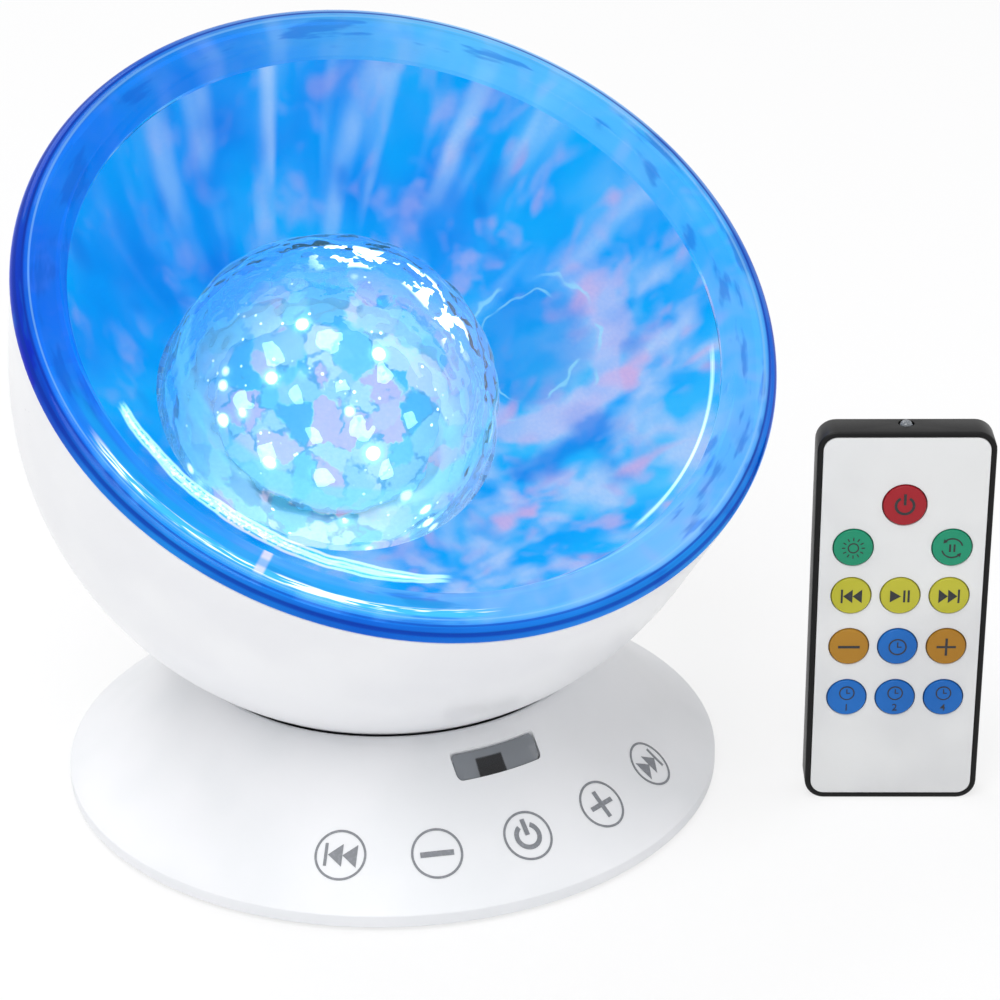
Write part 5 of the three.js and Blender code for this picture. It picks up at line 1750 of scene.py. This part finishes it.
    def build_signs(self, shell: bpy.types.Object) -> None:
        """The five printed touch signs, each in its ring, laid on the slope.

        Args:
            shell: The settled shell that they are printed on.
        """
        maker = SignMaker(line=0.19)
        lay = carried(0.0, -self.touch_radius, self.slope_height(self.touch_radius) + 0.6)
        lay = lay @ turned(self.slope_angle(self.touch_radius), "X")
        for index, sign in enumerate(self.touch_signs):
            strokes = maker.strokes(sign)
            for stroke in strokes:
                shifted(stroke, Matrix.Scale(self.sign_radius, 4))
            ring = maker.loop(self.sign_radius, self.sign_ring, steps=72)
            piece = merge(f"touch_sign_{index + 1}", [ring, *strokes])
            edit(piece, "FACE")
            bpy.ops.mesh.quads_convert_to_tris()
            bpy.ops.mesh.subdivide(number_cuts=2)
            leave_edit()
            shifted(piece, turned((index - 2) * self.touch_pitch, "Z") @ lay)
            shifted(piece, BASE.matrix())
            modify(piece, "SHRINKWRAP", target=shell, wrap_method="NEAREST_SURFACEPOINT", wrap_mode="ABOVE_SURFACE",
                   offset=self.ink_gap)
            modify(piece, "SOLIDIFY", thickness=self.ink_thickness, offset=1.0)
            shifted(piece, BASE.matrix().inverted())
            settle(piece, BASE, "base", GREY_INK)

    def settle_four(self, form: bpy.types.Object, node: str, start: float, stand: Matrix, finish: Finish) -> None:
        """Copies one form to four places round the base.

        Args:
            form: The form, which is removed afterwards.
            node: The fixed model's nodes, without their numbers.
            start: Angle of the first place in degrees.
            stand: The form's place at no angle.
            finish: The finish.
        """
        for index in range(4):
            piece = copy_of(form, f"{node}_form_{index + 1}")
            around = turned(start + 90.0 * index, "Z") @ stand
            settle(shifted(piece, around), BASE, "base", finish, [f"{node}_{index + 1}"])
        remove(form)

    def build_feet(self) -> None:
        """Four rubber feet with a soft lower edge."""
        edge = arc(self.foot_radius - 0.4, 0.4, 0.4, -90.0, 0.0, 5)
        outline = [(0.0, 0.0), (self.foot_radius - 0.6, 0.0), *edge, (self.foot_radius, 1.1), (0.0, 1.1)]
        place = carried(self.fixing_radius, 0.0, 0.0)
        self.settle_four(spun("foot_form", outline, 64), "foot", 0.0, place, GREY_RUBBER)

    def build_screws(self) -> None:
        """Four countersunk screws with cross recesses, seen from below."""
        outline = [(0.0, -5.0), (1.2, -4.6), (1.2, 0.0), (2.7, 0.0), *arc(2.3, 0.3, 0.4, 0.0, 90.0, 4), (0.0, 0.7)]
        form = spun("screw_form", outline, 32)
        for turn in (0.0, 90.0):
            slot = box("slot", (-1.6, -0.25, 0.2), (1.6, 0.25, 1.0))
            combine(form, shifted(slot, turned(turn, "Z")), Join.CUT)
        self.settle_four(form, "base_screw", 45.0, carried(self.fixing_radius, 0.0, 1.65) @ turned(180.0, "X"), STEEL)

    def build_sockets(self) -> None:
        """The power and sound sockets, each a block with a collar through the wall."""
        sockets = (
            ("power_socket", -1, (4.5, 3.5), 3.4, 2.8, 0.7),
            ("audio_socket", 1, (3.5, 3.0), 2.8, 1.8, 0.0),
        )
        turn = turned(-90.0, "X")
        for name, side, half, collar, bore, pin in sockets:
            block = box(f"{name}_form", (-half[0], -9.0, -half[1]), (half[0], 0.0, half[1]))
            modify(block, "BEVEL", width=0.3, segments=2)
            edge = arc(collar - 0.3, 1.6, 0.3, 0.0, 90.0, 4)
            ring = spun("collar", [(0.0, -4.5), (collar, -4.5), *edge, (0.0, 1.9)], 64)
            combine(block, shifted(ring, turn), Join.ADD)
            combine(block, shifted(cylinder("bore", bore, -7.2, 5.0), turn), Join.CUT)
            if pin:
                needle = spun("pin", [(0.0, -8.1), (pin, -8.1), (pin, -0.6), (pin * 0.5, 0.0), (0.0, 0.0)], 24)
                combine(block, shifted(needle, turn), Join.ADD)
            shifted(block, carried(side * self.socket_place, self.bay_face - 1.9, self.socket_height))
            settle(block, BASE, "base", BLACK_PART, [name])

    def dress_inside(self) -> None:
        """Finishes what stays as the fixed model has it."""
        dress(INNER_WHITE, "bottom_plate")
        dress(GREY_RUBBER, "seat_ring")
        dress(BLACK_PART, "ir_receiver", "speaker_cone")
        dress(BOARD_GREEN, "main_board", "socket_board")
        dress(STEEL, "speaker_basket", *[f"touch_spring_{i}" for i in range(1, 6)])

    def build(self) -> None:
        """Builds and dresses the whole base."""
        shell = self.build_shell()
        self.build_window()
        self.build_signs(shell)
        self.build_feet()
        self.build_screws()
        self.build_sockets()
        self.dress_inside()


# Head


@dataclass
class Head:
    """The tilting head: bowl, lens, reflector, dome and lamps."""

    bowl_radius: float = 77.9
    mouth_radius: float = 80.2
    mouth_height: float = 19.5
    wall: float = 2.4
    ledge_top: float = 12.3
    ledge_foot: float = 8.7
    bolt_hole: float = 4.8
    bolt_angle: float = -22.5
    lens_top: float = 22.5
    lip: float = 2.7
    window_radius: float = 70.5
    window_drop: float = 3.4
    window_sheet: float = 1.6
    lens_wall: float = 1.6
    spigot_end: float = 14.5
    dome_x: float = -5.0
    dome_y: float = 6.8
    dome_radius: float = 36.5
    dome_wall: float = 1.8
    dome_centre: float = -22.05
    skirt: float = 3.0
    hole_radius: float = 37.6
    dish_wall: float = 1.6
    sag: float = 6.0
    teeth: int = 40
    tooth_half: float = 0.95
    tooth_root: float = 36.4
    tooth_tip: float = 39.8
    board_low: float = -27.45
    board_radius: float = 25.0
    board_thickness: float = 1.4
    lamp_rings: tuple[tuple[int, float], ...] = ((8, 18.5), (4, 7.5))

    def lean_angle(self) -> float:
        """Angle at which the bowl's round bottom meets its flared wall, in degrees."""
        reach = math.hypot(self.mouth_radius, self.mouth_height)
        return math.degrees(math.atan2(self.mouth_height, self.mouth_radius) - math.acos(self.bowl_radius / reach))

    def inside(self, height: float) -> float:
        """Inside radius of the flared wall at a height."""
        lean = math.radians(self.lean_angle())
        return self.mouth_radius - (self.mouth_height - height) * math.tan(-lean) - self.wall / math.cos(lean)

    def build_bowl(self) -> None:
        """The bowl, with a softened rim and the shelf inside that carries the reflector."""
        lean = self.lean_angle()
        ledge = self.inside(self.ledge_top)
        outline = arc(0.0, 0.0, self.bowl_radius, -90.0, lean, 48)
        outline += [(self.mouth_radius - 0.03, self.mouth_height - 0.35)]
        outline += arc(self.mouth_radius - 0.35, self.mouth_height - 0.3, 0.3, 10.0, 90.0, 3)
        outline += [(self.inside(self.mouth_height), self.mouth_height), (ledge, self.ledge_top)]
        outline += [(ledge - 1.8, self.ledge_top), (self.inside(self.ledge_foot), self.ledge_foot)]
        outline += arc(0.0, 0.0, self.bowl_radius - self.wall, lean, -90.0, 36)
        bowl = spun("bowl_form", outline, 160)
        hole = cylinder("bolt_hole", self.bolt_hole, -85.0, -60.0)
        combine(bowl, shifted(hole, turned(self.bolt_angle, "X")), Join.CUT)
        settle(bowl, HEAD, "head", BOWL_WHITE, ["bowl"])

    def build_lens(self) -> None:
        """The lens: a lit lip with a bead and a spigot, and the clear window sunk in it."""
        seam = self.mouth_height + 0.3
        lip_end = self.mouth_radius - self.lip
        spigot = self.inside(self.spigot_end) - 0.3
        foot = self.window_radius - 1.8
        under = self.lens_top - self.lens_wall
        top = self.lens_top - self.window_drop
        bead = ((0.1, 0.15), (0.5, 0.32), (0.9, 0.15), (1.1, 0.0))
        outline = arc(lip_end, seam, self.lip, 0.0, 90.0, 10)
        outline += [(lip_end - along, self.lens_top + up) for along, up in bead]
        outline += [(self.window_radius + 0.4, self.lens_top), (self.window_radius, self.lens_top - 0.2)]
        outline += [(foot + 0.3, top + 0.3), (foot, top)]
        outline += [(foot, top - self.lens_wall), (foot + 0.8, top - self.lens_wall)]
        outline += [(self.window_radius + 0.8, under), (spigot - self.lens_wall, under)]
        outline += [(spigot - self.lens_wall, self.spigot_end), (spigot, self.spigot_end), (spigot, seam)]
        lip = spun("lens_lip", outline, 192)
        for index in range(4):
            snap = box("snap", (spigot - self.lens_wall, -3.5, self.spigot_end + 0.3),
                       (spigot + 0.9, 3.5, self.spigot_end + 1.7))
            combine(lip, shifted(snap, turned(45.0 + 90.0 * index, "Z")), Join.ADD)
        settle(lip, HEAD, "head", LIT_RIM, ["cover"])
        clear = foot - 0.02
        low = top - self.window_sheet
        plate = [(0.0, top), (clear - 0.1, top), (clear, top - 0.1), (clear, low + 0.1), (clear - 0.1, low), (0.0, low)]
        settle(spun("lens_window", plate, 128), HEAD, "head", LENS_WINDOW, ["cover"])

    def build_reflector(self) -> None:
        """The dish from the shelf in the bowl down to the hole round the dome."""
        outer = self.inside(self.ledge_top) - 0.3
        flange = outer - 2.3
        low = self.dome_centre - self.skirt + 0.5
        high = self.ledge_top + 0.3
        steps = 16
        upper: list[Ring] = []
        for i in range(steps + 1):
            share = i / steps
            radius = self.hole_radius + (flange - self.hole_radius) * share
            height = low + (high - low) * share + self.dish_wall - self.sag * 4.0 * share * (1.0 - share)
            upper.append(Ring(radius, height, self.dome_x * (1.0 - share), self.dome_y * (1.0 - share)))
        lower = [Ring(r.radius, r.height - self.dish_wall, r.x, r.y) for r in reversed(upper)]
        rim = [Ring(outer, high + self.dish_wall), Ring(outer, high)]
        settle(lofted("reflector_form", [*upper, *rim, *lower], 160), HEAD, "head", WAVE_WALL, ["reflector"])

    def build_dome(self) -> None:
        """The ripple dome on its ring gear, its outside thrown into waves."""
        inner = self.dome_radius - self.dome_wall
        low = -2.0 * self.skirt
        outline = arc(0.0, 0.0, self.dome_radius, 0.0, 90.0, 72)
        outline += arc(0.0, 0.0, inner, 90.0, 0.0, 36)
        outline += [(inner, low), (self.dome_radius, low), (self.dome_radius, -self.skirt)]
        dome = spun("ripple_dome_form", outline, 220)
        relief = dome.vertex_groups.new(name="relief")
        for vertex in dome.data.vertices:
            if vertex.co.length > self.dome_radius - 0.4 and vertex.co.z > 0.5:
                relief.add([vertex.index], min(1.0, vertex.co.z / 6.0), "REPLACE")
        broad = bpy.data.textures.new("hammered_cells", "VORONOI")
        broad.noise_scale = 9.0
        broad.distance_metric = "DISTANCE_SQUARED"
        fine = bpy.data.textures.new("soft_waves", "CLOUDS")
        fine.noise_scale = 5.0
        fine.noise_depth = 0
        for texture, strength, level in ((broad, -1.0, 0.3), (fine, 0.6, 0.6)):
            modify(dome, "DISPLACE", texture=texture, vertex_group="relief", strength=strength, mid_level=level,
                   texture_coords="LOCAL")
        dome = merge("ripple_dome_form", [dome, self.build_teeth()])
        shifted(dome, carried(self.dome_x, self.dome_y, self.dome_centre))
        settle(dome, HEAD, "dome", RIPPLE_GLASS, ["ripple_dome"], smooth=60.0)

    def build_teeth(self) -> bpy.types.Object:
        """The ring gear's teeth round the dome's foot.

        Returns:
            All of them as one piece.
        """
        teeth = []
        for index in range(self.teeth):
            tooth = box("tooth", (self.tooth_root, -self.tooth_half, -2.0 * self.skirt),
                        (self.tooth_tip, self.tooth_half, -self.skirt))
            edit_nothing(tooth, "VERT")
            for vertex in tooth.data.vertices:
                vertex.select = vertex.co.x > self.tooth_tip - 0.8
            edit_selected(tooth, "VERT")
            middle = (self.tooth_tip, 0.0, -1.5 * self.skirt)
            bpy.ops.transform.resize(value=(1.0, 0.55, 1.0), center_override=middle)
            leave_edit()
            teeth.append(shifted(tooth, turned(360.0 * index / self.teeth, "Z")))
        return merge("teeth", teeth)

    def build_lamps(self) -> None:
        """The lamp board's disc with twelve lit lamps on it."""
        radius, top = self.board_radius, self.board_thickness
        disc = spun("lamp_board_form", [(0.0, 0.0), (radius, 0.0), (radius, top), (1.4, top), (0.0, top)], 96)
        shifted(disc, carried(self.dome_x, self.dome_y, self.board_low))
        settle(disc, HEAD, "head", LAMP_BOARD, ["lamp_board"])
        case = box("lamp", (-1.7, -1.7, 0.0), (1.7, 1.7, 1.6))
        modify(case, "BEVEL", width=0.3, segments=2)
        lamps = []
        for count, reach in self.lamp_rings:
            for index in range(count):
                angle = math.radians(360.0 * index / count + 180.0 / count)
                x, y = self.dome_x + reach * math.cos(angle), self.dome_y + reach * math.sin(angle)
                lamps.append(shifted(copy_of(case, "lamp_copy"), carried(x, y, self.board_low + top)))
        remove(case)
        settle(merge("lamps", lamps), HEAD, "head", LAMP_CYAN)

    def dress_inside(self) -> None:
        """Finishes what stays as the fixed model has it."""
        dress(INNER_WHITE, "chassis")
        dress(NYLON, "drive_pinion", "clamp_shoe")
        screws = [f"chassis_screw_{i}" for i in (1, 2, 3)] + ["motor_screw_1", "motor_screw_2"]
        dress(STEEL, "motor", "tilt_bolt", "spring_washer", "clamp_nut", *screws)

    def build(self) -> None:
        """Builds and dresses the whole head."""
        self.build_bowl()
        self.build_lens()
        self.build_reflector()
        self.build_dome()
        self.build_lamps()
        self.dress_inside()


# Remote


@dataclass(frozen=True)
class Key:
    """One key of the remote: its name, column, drop from the top, colour, sign and number."""

    name: str
    column: int
    drop: float
    colour: str
    sign: Sign
    number: str = ""
    radius: float = 4.2


@dataclass
class Remote:
    """The card remote: case, face, twelve keys, battery tray and emitter."""

    width: float = 37.0
    height: float = 87.0
    thickness: float = 7.2
    corner: float = 4.2
    rim: float = 1.1
    face: float = 0.6
    face_gap: float = 0.15
    key_gap: float = 0.15
    pitch: float = 10.3
    emitter_depth: float = 1.05
    keys: tuple[Key, ...] = (
        Key("power", 0, 16.5, "red", Sign.POWER, radius=4.6),
        Key("light_mode", -1, 26.3, "green", Sign.SUN),
        Key("turn_mode", 1, 26.3, "green", Sign.TURN),
        Key("back", -1, 37.6, "yellow", Sign.BACK),
        Key("play", 0, 37.6, "yellow", Sign.PLAY),
        Key("forward", 1, 37.6, "yellow", Sign.FORWARD),
        Key("quieter", -1, 49.7, "orange", Sign.MINUS),
        Key("timer_off", 0, 49.7, "blue", Sign.CLOCK),
        Key("louder", 1, 49.7, "orange", Sign.PLUS),
        Key("timer_1", -1, 62.0, "blue", Sign.CLOCK, "1"),
        Key("timer_2", 0, 62.0, "blue", Sign.CLOCK, "2"),
        Key("timer_4", 1, 62.0, "blue", Sign.CLOCK, "4"),
    )

    def front(self) -> float:
        """Depth of the remote's front face."""
        return -self.thickness / 2

    def key_stand(self, key: Key) -> Matrix:
        """A key's own frame: its middle on the remote's front, with Z towards the hand."""
        return carried(key.column * self.pitch, self.front(), self.height - key.drop) @ turned(90.0, "X")

    def slab(self, name: str, inset: float, low_y: float, high_y: float, corner: float,
             edge: float = 0.0) -> bpy.types.Object:
        """A rounded plate as wide and high as the remote, less an inset all round."""
        half = self.width / 2 - inset
        return rounded_slab(name, (-half, low_y, inset), (half, high_y, self.height - inset), corner, edge)

    def build_case(self) -> None:
        """The case: a rounded tray with a rim round the face, and the battery's mouth in its lower end."""
        front, back = self.front(), -self.front()
        case = self.slab("remote_case_form", 0.0, front, back, self.corner, 0.45)
        hole = cylinder("emitter_hole", 1.7, 80.0, 90.0)
        for cutter in (
            self.slab("pocket", self.rim, front - 1.0, front + 0.9, self.corner - self.rim),
            self.slab("cavity", 2.7, front, back - 0.8, 1.6),
            box("mouth", (-11.3, -0.7, -1.0), (11.3, 2.8, 5.0)),
            shifted(hole, carried(0.0, self.emitter_depth, 0.0)),
        ):
            combine(case, cutter, Join.CUT)
        settle(case, REMOTE, "remote", REMOTE_BLACK, ["remote_case"])

    def build_face(self) -> None:
        """The silver face with a hole for each key."""
        front, inset = self.front(), self.rim + self.face_gap
        face = self.slab("remote_face_form", inset, front, front + self.face, self.corner - inset, 0.12)
        for key in self.keys:
            hole = cylinder("key_hole", key.radius + self.key_gap, -3.0, 3.0, 64)
            combine(face, shifted(hole, self.key_stand(key)), Join.CUT)
        settle(face, REMOTE, "remote", REMOTE_SILVER, ["remote_face"])

    def build_keys(self) -> None:
        """The keys, each slightly domed and with its printed sign."""
        maker = SignMaker(line=0.15)
        for key in self.keys:
            body, radius, stand = f"{key.name}_key", key.radius, self.key_stand(key)
            top = radius * 0.94
            crown = [(top * i / 6, 0.5 - 0.12 * (i / 6) ** 2) for i in range(7)]
            outline = [*crown, *arc(top - 0.05, 0.25, 0.18, 60.0, 0.0, 4), (radius, -0.9)]
            outline += [(radius + 0.5, -0.9), (radius + 0.3, -1.3), (radius, -1.6), (0.0, -1.6)]
            form = spun(f"key_{key.name}_form", outline, 64)
            settle(shifted(form, stand), REMOTE, body, KEY_FINISHES[key.colour], [f"key_{key.name}"])
            size, lift = (0.72, radius * 0.27) if key.number else (0.84, 0.0)
            strokes = maker.strokes(key.sign)
            for stroke in strokes:
                shifted(stroke, carried(0.0, lift, 0.0) @ Matrix.Scale(radius * size, 4))
            if key.number:
                strokes.append(maker.number(key.number, 2.3, 0.0, -radius * 0.57))
            sign = merge(f"key_{key.name}_sign", strokes)
            modify(sign, "SOLIDIFY", thickness=0.05, offset=1.0)
            shifted(sign, stand @ carried(0.0, 0.0, 0.46))
            settle(sign, REMOTE, body, DARK_INK)

    def build_cell(self) -> None:
        """The coin cell and the emitter."""
        cell = [(0.0, 0.0), (9.4, 0.0), *arc(9.6, 0.4, 0.4, -90.0, 0.0, 4), (10.0, 1.5), (9.9, 1.6), (0.0, 1.6)]
        turn = carried(0.0, 0.55, 14.15) @ turned(-90.0, "X")
        settle(shifted(spun("coin_cell_form", cell, 96), turn), REMOTE, "tray", STEEL, ["coin_cell"])
        top = self.height + 0.7
        bulb = [(0.0, top - 5.0), (1.4, top - 5.0), (1.4, top - 1.4), *arc(0.0, top - 1.4, 1.4, 10.0, 90.0, 8)]
        emitter = shifted(spun("ir_emitter_form", bulb, 48), carried(0.0, self.emitter_depth, 0.0))
        settle(emitter, REMOTE, "remote", EMITTER_SMOKE, ["ir_emitter"])
        dress(REMOTE_BLACK, "battery_tray")
        dress(BOARD_GREEN, "remote_board")

    def build(self) -> None:
        """Builds and dresses the whole remote."""
        self.build_case()
        self.build_face()
        self.build_keys()
        self.build_cell()


# Studio


@dataclass(frozen=True)
class Softbox:
    """One soft lamp of the studio."""

    name: str
    place: tuple[float, float, float]
    aim: tuple[float, float, float]
    size: float
    power: float


@dataclass
class Studio:
    """The floor, the lamps, the world and the camera."""

    camera_place: tuple[float, float, float] = (-0.240506, -0.545288, 0.345986)
    camera_right: tuple[float, float, float] = (0.8958, -0.4444, -0.0090)
    camera_up: tuple[float, float, float] = (0.1983, 0.3815, 0.9029)
    lens: float = 110.48
    sensor: float = 36.0
    white: Colour = (1.0, 1.0, 1.0, 1.0)
    floor_tone: Colour = (0.92, 0.92, 0.93, 1.0)
    floor_size: float = 6.0
    floor_glow: float = 0.74
    world_light: float = 0.56
    boxes: tuple[Softbox, ...] = (
        Softbox("key_box", (-0.6, -0.6, 1.5), (0.0, 0.0, 0.06), 1.1, 14.0),
        Softbox("side_box", (1.3, -0.4, 0.9), (0.02, 0.0, 0.06), 0.8, 2.0),
        Softbox("back_box", (-0.2, 1.0, 1.3), (0.0, 0.0, 0.1), 0.8, 5.0),
    )

    def build_camera(self) -> None:
        """The camera at the photograph's place, with its slight roll."""
        data = bpy.data.cameras.new("camera")
        data.lens = self.lens
        data.sensor_width = self.sensor
        data.clip_start = 0.01
        data.clip_end = 50.0
        camera = bpy.data.objects.new("camera", data)
        bpy.context.scene.collection.objects.link(camera)
        right = Vector(self.camera_right).normalized()
        up = (Vector(self.camera_up) - right * right.dot(Vector(self.camera_up))).normalized()
        axes = Matrix((right, up, right.cross(up))).transposed().to_4x4()
        camera.matrix_world = Matrix.Translation(self.camera_place) @ axes
        bpy.context.scene.camera = camera

    def build_lights(self) -> None:
        """The soft lamps and an even world."""
        for softbox in self.boxes:
            data = bpy.data.lights.new(softbox.name, "AREA")
            data.shape = "DISK"
            data.size = softbox.size
            data.energy = softbox.power
            lamp = bpy.data.objects.new(softbox.name, data)
            bpy.context.scene.collection.objects.link(lamp)
            lamp.location = softbox.place
            lamp.rotation_euler = (Vector(softbox.aim) - Vector(softbox.place)).to_track_quat("-Z", "Y").to_euler()
        world = bpy.data.worlds.new("studio")
        world.use_nodes = True
        bpy.context.scene.world = world
        graph = Graph(world.node_tree)
        strength = graph.plus(self.world_light, graph.times(graph.seen(), 1.0 - self.world_light))
        even = graph.join(graph.add("ShaderNodeBackground"), {"Color": self.white, "Strength": strength})
        graph.join(graph.add("ShaderNodeOutputWorld"), {"Surface": even.outputs[0]})

    def build_floor(self) -> None:
        """A plain white floor that keeps the object's shadow."""
        clear_selection()
        bpy.ops.mesh.primitive_plane_add(size=self.floor_size)
        floor = named("floor")
        material = bpy.data.materials.new("floor")
        material.use_nodes = True
        graph = Graph(material.node_tree)
        diffuse = graph.join(graph.add("ShaderNodeBsdfDiffuse"), {"Color": self.floor_tone})
        bright = graph.join(graph.add("ShaderNodeEmission"), {"Color": self.white})
        blend = graph.add("ShaderNodeMixShader")
        share = graph.times(graph.seen(), self.floor_glow)
        for socket, value in zip(blend.inputs, (share, diffuse.outputs[0], bright.outputs[0])):
            graph.feed(socket, value)
        graph.join(graph.add("ShaderNodeOutputMaterial"), {"Surface": blend.outputs[0]})
        floor.data.materials.append(material)

    def build(self) -> None:
        """Sets up the whole studio."""
        self.build_camera()
        self.build_lights()
        self.build_floor()
        bpy.context.scene.view_settings.view_transform = "Standard"


def main() -> None:
    """Builds the studio and the sub-assemblies in order."""
    logging.basicConfig(level=logging.INFO, format="%(name)s: %(message)s")
    Studio().build()
    for assembly in (Base(), Head(), Remote()):
        assembly.build()
        log.info("%s is built", type(assembly).__name__)


if __name__ == "__main__":
    main()
